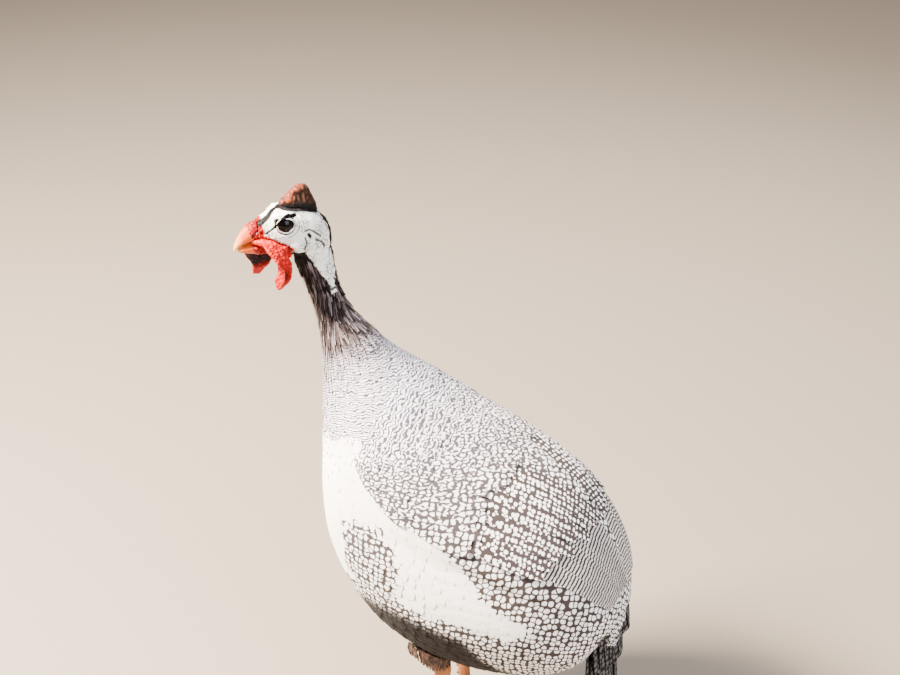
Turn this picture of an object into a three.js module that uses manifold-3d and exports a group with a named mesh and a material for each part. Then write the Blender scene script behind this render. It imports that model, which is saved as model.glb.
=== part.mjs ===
// A helmeted guinea fowl, domestic pearl with a white breast, life size and standing alert.
// Millimetres. -Y is forward, +X is the bird's own left and +Z is up from the ground it stands on.
// Outlines are drawn as [forward, up] pairs: forward of the feet, and above the ground or the eye.
import * as THREE from "three";
import { mergeVertices } from "three/addons/utils/BufferGeometryUtils.js";
import Module from "manifold-3d";

const wasm = await Module();
wasm.setup();

const SEAM = 0.3; // air left between two pieces that touch
const HEAD_TURN = THREE.MathUtils.degToRad(40); // the head looks to the bird's left
const EYE_FORWARD = 142;
const EYE_LEFT = 6;
const EYE_HEIGHT = 457;
const FLESH_AROUND = 24; // facets round the body
const RINGS_PER_SECTION = 2;

// Slices through the body from the tail's root to the top of the neck. Each has a point on the
// back, a point on the belly or throat, half the width, and how far the slice lies to the left.
const SLICES = [
  { back: [-119, 136], belly: [-115, 133], half: 7, left: 0 },
  { back: [-123.5, 156], belly: [-110, 142], half: 18, left: 0 },
  { back: [-125, 187], belly: [-104, 142], half: 30, left: 0 },
  { back: [-117.5, 221], belly: [-96, 124], half: 45, left: 0 },
  { back: [-102.5, 251], belly: [-76, 108], half: 58, left: 0 },
  { back: [-80, 277], belly: [-44, 98], half: 68, left: 0 },
  { back: [-50, 297.5], belly: [-7, 95], half: 74, left: 0 },
  { back: [-18, 313], belly: [31, 101], half: 76, left: 0 },
  { back: [12, 326.5], belly: [67, 120], half: 74, left: 0 },
  { back: [36, 341], belly: [96, 151], half: 67, left: 0 },
  { back: [56, 354], belly: [114, 190], half: 58, left: 0 },
  { back: [71, 366], belly: [120, 234], half: 46, left: 0 },
  { back: [83, 377], belly: [119, 278], half: 35, left: -1 },
  { back: [96, 387], belly: [118, 322], half: 25, left: -2 },
  { back: [104, 398], belly: [120, 357], half: 17, left: -4 },
  { back: [109.5, 410], belly: [127, 384], half: 13.2, left: -7 },
  { back: [112.5, 423], belly: [136.5, 405], half: 12.4, left: -9 },
  { back: [115.5, 436], belly: [143, 422], half: 12.2, left: -8 },
  { back: [122, 442], belly: [141, 436], half: 7.5, left: -6 },
];
const TAIL_CUT = 2; // the slice where the tail's root meets the rump
const NECK_CUT = 12; // the slice where the neck meets the shoulders

const LEG_SPREAD = 30; // each foot's distance from the middle
const STRIDE = 2; // the right foot stands this far ahead, the left one behind
const FOOT_FORWARD = 14;
const HOCK_HEIGHT = 99;
const TOE_RADIUS = 4.1;
const ANKLE_HEIGHT = 11;
const ANKLE_TOP = 15; // where the shank stands on the foot

const COLOURS = {
  plumage: 0x8d898b,
  collar: 0x5d585c,
  face: 0xece9dc,
  casque: 0xa8603c,
  bill: 0xd99a70,
  wattle: 0xd8281c,
  eye: 0x120d0c,
  leg: 0x9c6743,
  claw: 0x4a3526,
};

const at = (forward, left, up) => new THREE.Vector3(left, -forward, up);
const mix = THREE.MathUtils.lerp;
const radians = THREE.MathUtils.degToRad;

// Solids and nodes

// Turns a closed geometry into a solid whose faces point out.
function solidOf(geometry) {
  const bare = geometry.index ? geometry.toNonIndexed() : geometry.clone();
  bare.deleteAttribute("normal");
  bare.deleteAttribute("uv");
  const merged = mergeVertices(bare, 1e-4);
  const build = (triVerts) => {
    const vertProperties = merged.attributes.position.array;
    return new wasm.Manifold(new wasm.Mesh({ numProp: 3, vertProperties, triVerts }));
  };
  const triVerts = new Uint32Array(merged.index.array);
  const made = build(triVerts);
  if (made.volume() > 0) return made;
  return build(triVerts.reverse());
}

const join = (solids) => solids.reduce((sum, next) => sum.add(next));

// A node keeps its one largest body, so that a scrap left by a cut is dropped.
function largest(solid) {
  const bodies = solid.decompose();
  return bodies.reduce((best, body) => (body.volume() > best.volume() ? body : best));
}

function node(name, solid, colour, roughness = 0.8) {
  const mesh = largest(solid).getMesh();
  const geometry = new THREE.BufferGeometry();
  const position = new THREE.BufferAttribute(new Float32Array(mesh.vertProperties), 3);
  geometry.setAttribute("position", position);
  geometry.setIndex(new THREE.BufferAttribute(new Uint32Array(mesh.triVerts), 1));
  geometry.computeVertexNormals();
  const material = new THREE.MeshStandardMaterial({ color: colour, roughness, metalness: 0 });
  const made = new THREE.Mesh(geometry, material);
  made.name = name;
  return made;
}

const mirrored = (solid) => solid.mirror([1, 0, 0]);

// A skin over rings of points. Every ring has the same count, and each end closes on its centre.
function loft(rings) {
  const around = rings[0].length;
  const points = rings.flat();
  const index = [];
  for (let r = 0; r + 1 < rings.length; r++) {
    for (let i = 0; i < around; i++) {
      const a = r * around + i;
      const b = r * around + ((i + 1) % around);
      index.push(a, b, b + around, a, b + around, a + around);
    }
  }
  for (const [ring, first, turn] of [[rings[0], 0, -1], [rings.at(-1), points.length - around, 1]]) {
    const centre = new THREE.Vector3();
    ring.forEach((point) => centre.addScaledVector(point, 1 / around));
    const hub = points.push(centre) - 1;
    for (let i = 0; i < around; i++) {
      const a = first + i;
      const b = first + ((i + 1) % around);
      index.push(...(turn > 0 ? [hub, a, b] : [hub, b, a]));
    }
  }
  return solidOf(new THREE.BufferGeometry().setFromPoints(points).setIndex(index));
}

// An oval ring: side and up are half its width and half its height, as vectors.
function oval(centre, side, up, around) {
  return Array.from({ length: around }, (_, i) => {
    const angle = (i / around) * 2 * Math.PI;
    const point = centre.clone().addScaledVector(up, Math.cos(angle));
    return point.addScaledVector(side, Math.sin(angle));
  });
}

// A thin plate between two faces that are split into triangles alike.
// pointAt(t, c, face) gives the place at t from 0 to 1 along and c from -1 to 1 across.
function plate(along, across, pointAt) {
  const points = [];
  const place = (i, j, face) => (face * (along + 1) + i) * (across + 1) + j;
  for (const face of [0, 1])
    for (let i = 0; i <= along; i++)
      for (let j = 0; j <= across; j++) points.push(pointAt(i / along, (2 * j) / across - 1, face));
  const index = [];
  const quad = (a, b, c, d) => index.push(a, b, c, a, c, d);
  for (let i = 0; i < along; i++) {
    for (let j = 0; j < across; j++) {
      const corners = [[i, j], [i + 1, j], [i + 1, j + 1], [i, j + 1]];
      const low = corners.map(([p, q]) => place(p, q, 0));
      const high = corners.map(([p, q]) => place(p, q, 1));
      quad(...high);
      index.push(low[0], low[2], low[1], low[0], low[3], low[2]);
    }
  }
  for (let i = 0; i < along; i++) {
    quad(place(i, 0, 0), place(i + 1, 0, 0), place(i + 1, 0, 1), place(i, 0, 1));
    quad(place(i + 1, across, 0), place(i, across, 0), place(i, across, 1), place(i + 1, across, 1));
  }
  for (let j = 0; j < across; j++) {
    quad(place(0, j + 1, 0), place(0, j, 0), place(0, j, 1), place(0, j + 1, 1));
    quad(place(along, j, 0), place(along, j + 1, 0), place(along, j + 1, 1), place(along, j, 1));
  }
  return solidOf(new THREE.BufferGeometry().setFromPoints(points).setIndex(index));
}

// An ellipsoid with radii given forward, left and up.
function bulb(centre, [forward, left, up], around = 10) {
  const ball = new THREE.SphereGeometry(1, around, Math.round(around * 0.6));
  ball.scale(left, forward, up);
  return solidOf(ball.translate(centre.x, centre.y, centre.z));
}

// A rod of oval rings along a path, for toes, claws and locks.
function rod(path, radiusAt, steps, around, flatness = 1) {
  const rings = Array.from({ length: steps + 1 }, (_, i) => {
    const t = i / steps;
    const along = path.getTangent(t);
    const side = new THREE.Vector3(0, 0, 1).cross(along).normalize();
    const up = along.clone().cross(side).normalize();
    const radius = radiusAt(t);
    const height = up.multiplyScalar(radius * flatness);
    return oval(path.getPoint(t), side.multiplyScalar(radius), height, around);
  });
  return loft(rings);
}

// Body: trunk, neck and the tail's root as one form, parted by two thin cuts

const lineOf = (key) =>
  new THREE.CatmullRomCurve3(SLICES.map((s) => at(s[key][0], s.left, s[key][1])), false, "centripetal");
const backLine = lineOf("back");
const bellyLine = lineOf("belly");
const widthLine = new THREE.CatmullRomCurve3(SLICES.map((s) => new THREE.Vector3(s.half, 0, 0)));
const LAST_SLICE = SLICES.length - 1;

// A place on the body: slice counts along SLICES, angle runs from the back over the left side.
function onBody(slice, angle, lift = 0) {
  const t = slice / LAST_SLICE;
  const back = backLine.getPoint(t);
  const belly = bellyLine.getPoint(t);
  const centre = back.clone().add(belly).multiplyScalar(0.5);
  const up = back.clone().sub(centre);
  const half = widthLine.getPoint(t).x + lift;
  up.setLength(up.length() + lift);
  return centre.addScaledVector(up, Math.cos(angle)).add(new THREE.Vector3(half * Math.sin(angle), 0, 0));
}

function bodySolid(grow) {
  const count = LAST_SLICE * RINGS_PER_SECTION;
  const rings = Array.from({ length: count + 1 }, (_, i) =>
    Array.from({ length: FLESH_AROUND }, (_, j) =>
      onBody(i / RINGS_PER_SECTION, (j / FLESH_AROUND) * 2 * Math.PI, grow),
    ),
  );
  return loft(rings);
}

// The plane of a slice: its normal points towards the head.
function sliceNormal(slice) {
  const { back, belly } = SLICES[slice];
  return at(back[1] - belly[1], 0, belly[0] - back[0]).normalize();
}

// Keeps the part of a solid beyond a slice, towards the head or towards the tail.
function beyond(solid, slice, towardsHead) {
  const turn = towardsHead ? 1 : -1;
  const normal = sliceNormal(slice).multiplyScalar(turn);
  const offset = normal.dot(at(SLICES[slice].back[0], 0, SLICES[slice].back[1]));
  return solid.trimByPlane(normal.toArray(), offset + SEAM / 2);
}

const body = bodySolid(0);
const bodyGrown = bodySolid(SEAM);
const trunk = beyond(beyond(body, TAIL_CUT, true), NECK_CUT, false);
const trunkGrown = beyond(beyond(bodyGrown, TAIL_CUT, true), NECK_CUT, false);

// Feathers: a vane is widest past its middle, has a raised shaft and a rounded tip

const VANE_THICK = 0.7;
const SHAFT_RAISE = 0.35;
const VANE_STEPS = 3;

// The rows of a vane stand closer together towards its rounded tip.
const vaneRow = (t) => 1 - (1 - t) ** 1.7;

function vaneWidth(t) {
  const rise = mix(0.45, 1, Math.min(1, t / 0.45));
  const tip = t > 0.7 ? Math.sqrt(Math.max(0.06, 1 - ((t - 0.7) / 0.31) ** 2)) : 1;
  return rise * tip;
}

// Wings, folded over the flanks: a pad of small coverts, then tiers of vanes over one another

// root and tip are slices of the body, angles run down its side; both are given for the lowest
// and the highest vane of a tier. lift is how far out a vane stands at its root and at its tip.
const TIERS = [
  {
    name: "primaries", count: 3, half: 6, tilt: 3, lift: [1.4, 1.4],
    root: [6.6, 6.6], tip: [2.7, 2.5], angles: [67, 63], tipAngles: [66, 58],
  },
  {
    name: "secondaries", count: 6, half: 8.2, tilt: 4.6, lift: [1.5, 2.6],
    root: [7.1, 7.3], tip: [3, 3.9], angles: [65, 27], tipAngles: [55, 21],
  },
  {
    name: "greater coverts", count: 6, half: 8.4, tilt: 2.8, lift: [4, 6],
    root: [8.2, 8.3], tip: [5.75, 5.6], angles: [66, 28], tipAngles: [61, 22],
  },
  {
    name: "median coverts", count: 5, half: 9.4, tilt: 2.8, lift: [4, 8.8],
    root: [9, 9], tip: [7.3, 7.1], angles: [66, 28], tipAngles: [65, 23],
  },
];
const PAD = { middle: 8.35, reach: 2.3, angle: 47, spread: 30, thick: 7.2, edge: 1.2, sunk: 4 };

// How far out the pad of coverts stands: along runs from its front edge (-1) to its rear edge (1).
function padLift(along, around) {
  const rim = (1 - along ** 4) * (1 - around ** 4);
  return PAD.edge + PAD.thick * rim * mix(0.85, 0.65, (along + 1) / 2);
}

function wingPad() {
  return plate(6, 5, (t, c, face) => {
    const along = 2 * t - 1;
    const corner = Math.sqrt(1 - 0.45 * along * along * c * c);
    const slice = PAD.middle - PAD.reach * along * corner;
    const angle = radians(PAD.angle + PAD.spread * c * corner);
    return onBody(slice, angle, face ? padLift(along, c) : -PAD.sunk);
  });
}

function wingVane(tier, share) {
  const root = mix(...tier.root, share);
  const tip = mix(...tier.tip, share);
  const rootAngle = mix(...tier.angles, share);
  const tipAngle = mix(...tier.tipAngles, share);
  const tilt = tier.tilt * mix(0.4, 1, Math.min(1, 2 * share));
  return plate(VANE_STEPS, 2, (t, c, face) => {
    const row = vaneRow(t);
    const slice = mix(root, tip, row);
    const middle = radians(mix(rootAngle, tipAngle, row));
    const radius = onBody(slice, middle).distanceTo(onBody(slice, middle + 0.02)) / 0.02;
    const half = (tier.half * vaneWidth(row)) / radius;
    const shaft = c === 0 && face ? SHAFT_RAISE : 0;
    // The lower edge of each vane lies over its lower neighbour.
    const lift = mix(...tier.lift, row) + (tilt * (1 - c)) / 2 + face * VANE_THICK + shaft;
    return onBody(slice, middle - c * half, lift);
  });
}

function wing() {
  const vanes = TIERS.flatMap((tier) =>
    Array.from({ length: tier.count }, (_, i) => wingVane(tier, i / (tier.count - 1))),
  );
  return join([wingPad(), ...vanes]).subtract(trunkGrown);
}

// Tail: the root of the body's form, with vanes fanned from it, hanging nearly straight down

const TAIL = {
  count: 11, layer: 1.5, length: 98, half: 8, fan: 9, spread: 19, arch: 7, top: 178, forward: -112.5, lean: 5,
};
const TAIL_COVERTS = {
  count: 5, layer: 1.5, length: 46, half: 8.5, fan: 9, spread: 18, arch: 7, top: 188, forward: -118, lean: 7,
};

// One tail vane. share runs from -1 at the right to 1 at the left.
function tailVane(set, share, layer) {
  const swing = radians(set.fan * share);
  const lean = radians(set.lean);
  return plate(VANE_STEPS, 2, (t, c, face) => {
    const half = set.half * vaneWidth(vaneRow(t));
    const down = set.length * vaneRow(t);
    const across = set.spread * share + down * Math.sin(swing) + c * half * Math.cos(swing);
    const drop = down * Math.cos(swing) - c * half * Math.sin(swing);
    // The fan is arched, and each vane is tilted so that its outer edge lies under the next one in.
    const outward = Math.sign(share || 1) * c;
    const bend = set.arch * share * share + 1.5 * outward + layer;
    const thick = face * VANE_THICK + (c === 0 && face ? SHAFT_RAISE : 0);
    return at(set.forward + bend - drop * Math.sin(lean) - thick, across, set.top - drop * Math.cos(lean));
  });
}

function tailFan(set) {
  // A vane of one side lies uppermost in the middle, so the two middle vanes don't meet.
  return Array.from({ length: set.count }, (_, i) => {
    const share = (2 * i) / (set.count - 1) - 1;
    return tailVane(set, share, set.layer * Math.abs(share + 1 / set.count) * (set.count / 2));
  });
}

const tailForm = join([beyond(body, TAIL_CUT, false), ...tailFan(TAIL), ...tailFan(TAIL_COVERTS)]);
const tail = tailForm.subtract(trunkGrown);

// Head, in its own frame: the origin is a little under the middle between the eyes, and the group turns it

const HEAD_SLICES = [
  { forward: -32.6, top: -9, bottom: -20, half: 4 },
  { forward: -30.4, top: -3, bottom: -27, half: 9 },
  { forward: -25, top: 5, bottom: -30.5, half: 12.6 },
  { forward: -18.5, top: 10, bottom: -30.5, half: 14.4 },
  { forward: -10, top: 13.2, bottom: -28, half: 15.2 },
  { forward: -2, top: 13.4, bottom: -25.5, half: 15 },
  { forward: 5, top: 12, bottom: -24, half: 13.6 },
  { forward: 11, top: 9.6, bottom: -23.2, half: 11.8 },
  { forward: 16, top: 6.4, bottom: -22.8, half: 10.2 },
  { forward: 19.5, top: 4.2, bottom: -22.4, half: 8.8 },
];
const HEAD_AROUND = 20;
const EYE_RADIUS = 7.2;
const EYE_FACETS = 11;
const EYE_PLACE = { forward: 1.2, left: 8.5, up: 2.4 }; // of each eyeball's centre
const NOSTRIL = { forward: 16.4, left: 9, up: -3.4 };
const EAR = { forward: -17.5, left: 13.9, up: -10 };

function headForm(grow) {
  return loft(
    HEAD_SLICES.map(({ forward, top, bottom, half }) =>
      oval(
        at(forward, 0, (top + bottom) / 2),
        new THREE.Vector3(half + grow, 0, 0),
        new THREE.Vector3(0, 0, (top - bottom) / 2 + grow),
        HEAD_AROUND,
      ),
    ),
  );
}

// Lids: a fleshy rim, longer than high, tipped to follow the cheek.
function lidRim(side) {
  const rim = new THREE.TorusGeometry(6.3, 1.15, 5, 15);
  rim.scale(1.06, 0.86, 0.9);
  rim.rotateZ(radians(-8));
  rim.rotateX(Math.PI / 2);
  rim.rotateZ(Math.PI / 2);
  rim.translate(side * 13.8, -EYE_PLACE.forward, EYE_PLACE.up);
  return solidOf(rim);
}

function earFold(side) {
  const fold = new THREE.TorusGeometry(3, 1, 5, 10);
  fold.rotateY(Math.PI / 2);
  fold.scale(1, 0.85, 1.15);
  fold.translate(side * EAR.left, -EAR.forward, EAR.up);
  return solidOf(fold);
}

// Red warts where the skin meets the top of the bill.
const CERE_WARTS = [
  [18.6, 0, 2.2, 2.8],
  [17.8, 4.4, 1.4, 2.5],
  [17.8, -4.4, 1.4, 2.5],
  [18.2, 7.6, -7.2, 2.1],
  [18.2, -7.6, -7.2, 2.1],
];

// The mouth line runs back into the cheek from the bill's cutting edge.
function mouthGroove(side) {
  const blade = new THREE.BoxGeometry(3, 13, 0.9);
  blade.rotateX(radians(-7));
  blade.translate(side * 9.6, -14.6, -11.6);
  return solidOf(blade);
}

const HAIR_LENGTH = 17;

// A flat tapering lock of the bristly nape hair, from its root out along its lie.
function lock(root, direction, lift, length, side) {
  const tip = root.clone().addScaledVector(direction, length).addScaledVector(lift, 4.2);
  const middle = root.clone().addScaledVector(direction, length * 0.5).addScaledVector(lift, 3.4);
  const path = new THREE.QuadraticBezierCurve3(root, middle, tip);
  return plate(3, 1, (t, c, face) => {
    const half = mix(1.7, 0.35, t);
    const thick = mix(1.3, 0.5, t);
    const point = path.getPoint(t).addScaledVector(side, c * half);
    return point.addScaledVector(lift, (face - 0.5) * thick);
  });
}

// Nape hair on the back of the head, behind the casque.
const headLocks = [
  [-24, 3.4], [-30, -5],
].flatMap(([forward, up], row) =>
  [-1, 0, 1].map((place) => {
    const slope = [0.68, 0.93][row];
    const direction = at(-Math.sqrt(1 - slope * slope), 0.12 * place, -slope).normalize();
    const lift = at(-slope, 0.25 * place, Math.sqrt(1 - slope * slope)).normalize();
    const root = at(forward + 2.2, place * 3.4, up - 1.6 - Math.abs(place) * 0.7);
    return lock(root, direction, lift, HAIR_LENGTH * (place ? 0.8 : 0.95), new THREE.Vector3(1, 0, 0));
  }),
);

const eyeCentre = (side) => at(EYE_PLACE.forward, side * EYE_PLACE.left, EYE_PLACE.up);
const sides = [1, -1];
const headParts = join([
  headForm(0),
  ...sides.map(lidRim),
  ...sides.map(earFold),
  ...sides.map((side) => bulb(at(2.4, side * 9.8, 8.3), [8.5, 2.6, 2.2], 8)),
  ...sides.map((side) => bulb(at(-9, side * 12.2, -14), [9, 4.2, 8], 8)),
  ...CERE_WARTS.map(([forward, left, up, radius]) =>
    bulb(at(forward - 1, left, up), [radius, radius, radius], 6)),
  ...headLocks,
]);
const headHollows = join([
  ...sides.map((side) => bulb(eyeCentre(side), Array(3).fill(EYE_RADIUS + SEAM), EYE_FACETS)),
  ...sides.map((side) => bulb(at(NOSTRIL.forward, side * NOSTRIL.left, NOSTRIL.up), [2.6, 2, 1], 8)),
  ...sides.map((side) => bulb(at(EAR.forward, side * (EAR.left + 1.6), EAR.up), [1.7, 3.2, 1.9], 8)),
  ...sides.map(mouthGroove),
]);
const BILL_FACE = 19.4; // where the horn of the bill starts
const head = headParts.subtract(headHollows).trimByPlane([0, 1, 0], -BILL_FACE);
const headGrown = join([
  headForm(SEAM),
  ...sides.map((side) => bulb(at(-9, side * 12.2, -14), [9.3, 4.5, 8.3], 8)),
  ...CERE_WARTS.map(([forward, left, up, radius]) =>
    bulb(at(forward - 1, left, up), Array(3).fill(radius + SEAM), 6)),
]);

const eye = (side) => bulb(eyeCentre(side), Array(3).fill(EYE_RADIUS), EYE_FACETS);

// Bill: two horny sheaths that meet along the mouth line

const UPPER_BILL = [
  { forward: 19.7, top: 3.4, bottom: -11.2, half: 7.6 },
  { forward: 23.5, top: 2.6, bottom: -11.6, half: 7 },
  { forward: 27, top: 0.4, bottom: -12.2, half: 6.1 },
  { forward: 30.5, top: -3.4, bottom: -13.4, half: 5 },
  { forward: 33.8, top: -8.2, bottom: -15, half: 3.6 },
  { forward: 36.2, top: -13, bottom: -16.9, half: 2 },
  { forward: 37, top: -15.6, bottom: -17.7, half: 0.8 },
];
const LOWER_BILL = [
  { forward: 19.7, top: -12, bottom: -21.8, half: 6.9 },
  { forward: 23.5, top: -12.4, bottom: -21.4, half: 6 },
  { forward: 27.5, top: -13.2, bottom: -20.6, half: 4.9 },
  { forward: 31.5, top: -14.8, bottom: -19.8, half: 3.6 },
  { forward: 34, top: -16.4, bottom: -18.8, half: 1.8 },
];

// Horn is narrower above than below, so each ring is drawn in towards the ridge of the bill.
function billForm(slices, pinch, grow = 0) {
  return loft(
    slices.map(({ forward, top, bottom, half }) =>
      oval(
        at(forward, 0, (top + bottom) / 2),
        new THREE.Vector3(half + grow, 0, 0),
        new THREE.Vector3(0, 0, (top - bottom) / 2 + grow),
        16,
      )
        .map((point) => {
          const height = (point.z - bottom) / (top - bottom);
          point.x *= 1 - pinch * (height - 0.35);
          point.z = Math.max(point.z, bottom + 0.12 * (top - bottom));
          return point;
        }),
    ),
  );
}

// Casque: the bony helmet on the crown, flat-sided, leaning back, its front edge sloped

const CASQUE = [
  { up: 5, front: 6, rear: -25, half: 7 },
  { up: 11, front: 4.6, rear: -24, half: 6.6 },
  { up: 15, front: 2.2, rear: -22.4, half: 5.7 },
  { up: 19.5, front: -2.6, rear: -20.6, half: 4.8 },
  { up: 23.5, front: -7.4, rear: -19, half: 3.8 },
  { up: 25.6, front: -10.4, rear: -17.4, half: 2.4 },
];

const casque = loft(
  CASQUE.map(({ up, front, rear, half }) =>
    oval(at((front + rear) / 2, 0, up), new THREE.Vector3(half, 0, 0), at((front - rear) / 2, 0, 0), 14),
  ),
).subtract(headGrown);

// Wattles: fleshy cups that hang from the corners of the mouth and open forward

const GAPE = { forward: 12, up: -10 }; // where a wattle hangs from
const WATTLE = { half: 10, outerDepth: 10, innerDepth: 15, thick: 2.2 };

function wattle(swing) {
  // The cup's deepest line, from the gape down to the tip.
  const spine = new THREE.CatmullRomCurve3([
    at(11, 10, -10.5),
    at(5.5, 14.2, -16),
    at(1.4, 17.4, -26),
    at(2.2, 17.2, -36),
    at(8.8, 14.6, -45.5),
  ]);
  const flap = plate(8, 6, (t, c, face) => {
    const half = WATTLE.half * Math.sin(Math.PI * mix(0.2, 0.985, t)) ** 0.8;
    const rim = WATTLE.thick * (1 - 0.35 * c * c) * (1 - 0.3 * t);
    const depth = c > 0 ? WATTLE.outerDepth : WATTLE.innerDepth;
    const cup = depth * c * c * (1 - 0.3 * t) * Math.sin(Math.PI * mix(0.3, 0.9, t));
    const forward = cup + (face - 0.5) * rim;
    const left = half * c - (face - 0.5) * rim * 0.8 * c;
    const up = 2.2 * c * (1 - t);
    return spine.getPoint(t).add(at(forward, left, up));
  });
  const beads = [
    [14.6, 10, -12.6, 2.5],
    [9.4, 11.8, -12.8, 2.7],
    [3.6, 14, -15.4, 2.7],
  ].map(([forward, left, up, radius]) => bulb(at(forward, left, up), Array(3).fill(radius), 7));
  const hung = flap
    .translate([0, GAPE.forward, -GAPE.up])
    .rotate([-swing, 0, 0])
    .translate([0, -GAPE.forward, GAPE.up]);
  return join([hung, ...beads]).subtract(headGrown).subtract(billForm(LOWER_BILL, -0.3, 2 * SEAM));
}

// Legs: feathered drumstick, scaly shank with raised scutes, four toes and their claws

const footOf = (side) => ({ forward: FOOT_FORWARD - side * STRIDE, left: side * LEG_SPREAD });

function drumstick(side) {
  const foot = footOf(side);
  const hip = at(foot.forward + 22, side * 31, 140);
  const hock = at(foot.forward + 3, foot.left, HOCK_HEIGHT + 1);
  const radii = [[0, 22, 18], [0.35, 19, 16], [0.65, 13, 12], [0.88, 8.4, 7.8], [1, 7.2, 6.6]];
  const rings = radii.map(([t, deep, wide]) =>
    oval(hip.clone().lerp(hock, t), new THREE.Vector3(wide, 0, 0), at(deep, 0, 0), 14));
  return loft(rings).subtract(trunkGrown);
}

const SHANK = [
  { share: 0, deep: 7.4, wide: 6 },
  { share: 0.08, deep: 7.8, wide: 6.2 },
  { share: 0.2, deep: 5.9, wide: 4.9 },
  { share: 0.5, deep: 5.2, wide: 4.2 },
  { share: 0.82, deep: 5.4, wide: 4.6 },
  { share: 0.95, deep: 7.2, wide: 6.8 },
  { share: 1.16, deep: 7, wide: 6.8 },
];
const SCUTES = 8;

// The shank with its ankle, whole: it is cut level into shank and foot.
function shankForm(side) {
  const foot = footOf(side);
  const top = at(foot.forward + 3, foot.left, HOCK_HEIGHT + 1.6);
  const ankle = at(foot.forward, foot.left, ANKLE_HEIGHT);
  const place = (t) => top.clone().lerp(ankle, t);
  const rings = SHANK.map(({ share, deep, wide }) =>
    oval(place(share), new THREE.Vector3(wide, 0, 0), at(deep, 0, 0), 10),
  );
  const scutes = Array.from({ length: SCUTES }, (_, i) => {
    const t = mix(0.16, 0.86, i / (SCUTES - 1));
    const scute = new THREE.CylinderGeometry(3.9, 4.6, 6.4, 6, 1);
    scute.scale(0.86, 1, 0.62);
    const centre = place(t).add(at(3.1, 0, 0));
    return solidOf(scute.translate(centre.x, centre.y, centre.z));
  });
  return join([loft(rings), ...scutes]);
}

const TOES = {
  inner: { length: 37, swing: -38, radius: 3.7 },
  middle: { length: 50, swing: -3, radius: TOE_RADIUS },
  outer: { length: 39, swing: 32, radius: 3.7 },
  hind: { length: 19, swing: 172, radius: 3 },
};
const CLAW_LENGTH = 9;
const TOE_LOW = 0.6; // a toe's middle is this share of its radius up, so that it stands on a flat

// Toes splay from the ankle. Outward swings are towards the bird's outside.
function toePath(side, toe) {
  const foot = footOf(side);
  const swing = radians(toe.swing);
  const reach = (distance, up) =>
    at(foot.forward + distance * Math.cos(swing), foot.left + side * distance * Math.sin(swing), up);
  const out = reach(1, 0).sub(reach(0, 0)).toArray();
  const start = new THREE.Vector3(...out).dot(reach(0, 0));
  return { reach, out, start, tip: toe.length };
}

function toeSolid(side, toe) {
  const { reach, out, start, tip } = toePath(side, toe);
  const low = toe.radius * TOE_LOW;
  const path = new THREE.CatmullRomCurve3([
    reach(0, 8.5),
    reach(tip * 0.3, low + 2),
    reach(tip * 0.62, low),
    reach(tip + 2, low - 0.2),
  ]);
  // The pads under the joints swell the toe three times along its length.
  const radiusAt = (t) => toe.radius * mix(1.12, 0.74, t) * (1 + 0.08 * Math.cos(t * 6 * Math.PI));
  const whole = rod(path, radiusAt, 6, 7, 0.92);
  return whole.trimByPlane(out.map((part) => -part), -(start + tip));
}

function footSolid(side) {
  const toes = Object.values(TOES).map((toe) => toeSolid(side, toe));
  return join([shankForm(side), ...toes])
    .trimByPlane([0, 0, 1], 0)
    .trimByPlane([0, 0, -1], -ANKLE_TOP);
}

function clawSolid(side, toe) {
  const { reach, out, start, tip } = toePath(side, toe);
  const low = toe.radius * TOE_LOW;
  const path = new THREE.QuadraticBezierCurve3(
    reach(tip - 1, low),
    reach(tip + CLAW_LENGTH * 0.6, low + 1.2),
    reach(tip + CLAW_LENGTH, 0.7),
  );
  const claw = rod(path, (t) => toe.radius * mix(0.66, 0.12, t), 3, 6).trimByPlane([0, 0, 1], 0);
  return claw.trimByPlane(out, start + tip + SEAM);
}

// Neck: it meets the turned head, and carries the nape hair on down

const headGroup = new THREE.Group();
headGroup.position.copy(at(EYE_FORWARD, EYE_LEFT, EYE_HEIGHT));
headGroup.rotation.z = HEAD_TURN;
headGroup.updateMatrix();

const NECK_LOCKS = 7;
const neckLocks = Array.from({ length: NECK_LOCKS }, (_, i) => {
  const slice = mix(16.6, 13.3, i / (NECK_LOCKS - 1));
  const angle = radians(i % 2 ? -15 : 13);
  const root = onBody(slice, angle, -1.6);
  const direction = onBody(slice - 1, angle * 0.6).sub(onBody(slice, angle)).normalize();
  const lift = onBody(slice, angle, 1).sub(onBody(slice, angle)).normalize();
  return lock(root, direction, lift, HAIR_LENGTH, new THREE.Vector3(1, 0, 0));
});
const neck = join([beyond(body, NECK_CUT, true), ...neckLocks])
  .subtract(headGrown.transform(headGroup.matrix.toArray()));

// The whole bird

const bird = new THREE.Group();
bird.add(node("torso", trunk, COLOURS.plumage, 0.9));
bird.add(node("neck", neck, COLOURS.collar, 0.9));
bird.add(node("tail", tail, COLOURS.plumage, 0.85));
const leftWing = wing();
bird.add(node("wing_left", leftWing, COLOURS.plumage, 0.85));
bird.add(node("wing_right", mirrored(leftWing), COLOURS.plumage, 0.85));

headGroup.add(node("head", head, COLOURS.face, 0.6));
headGroup.add(node("casque", casque, COLOURS.casque, 0.55));
headGroup.add(node("upper_bill", billForm(UPPER_BILL, 0.5), COLOURS.bill, 0.45));
headGroup.add(node("lower_bill", billForm(LOWER_BILL, -0.3), COLOURS.bill, 0.45));
headGroup.add(node("wattle_left", wattle(0), COLOURS.wattle, 0.5));
headGroup.add(node("wattle_right", mirrored(wattle(14)), COLOURS.wattle, 0.5));
headGroup.add(node("eye_left", eye(1), COLOURS.eye, 0.1));
headGroup.add(node("eye_right", eye(-1), COLOURS.eye, 0.1));
bird.add(headGroup);

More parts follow.
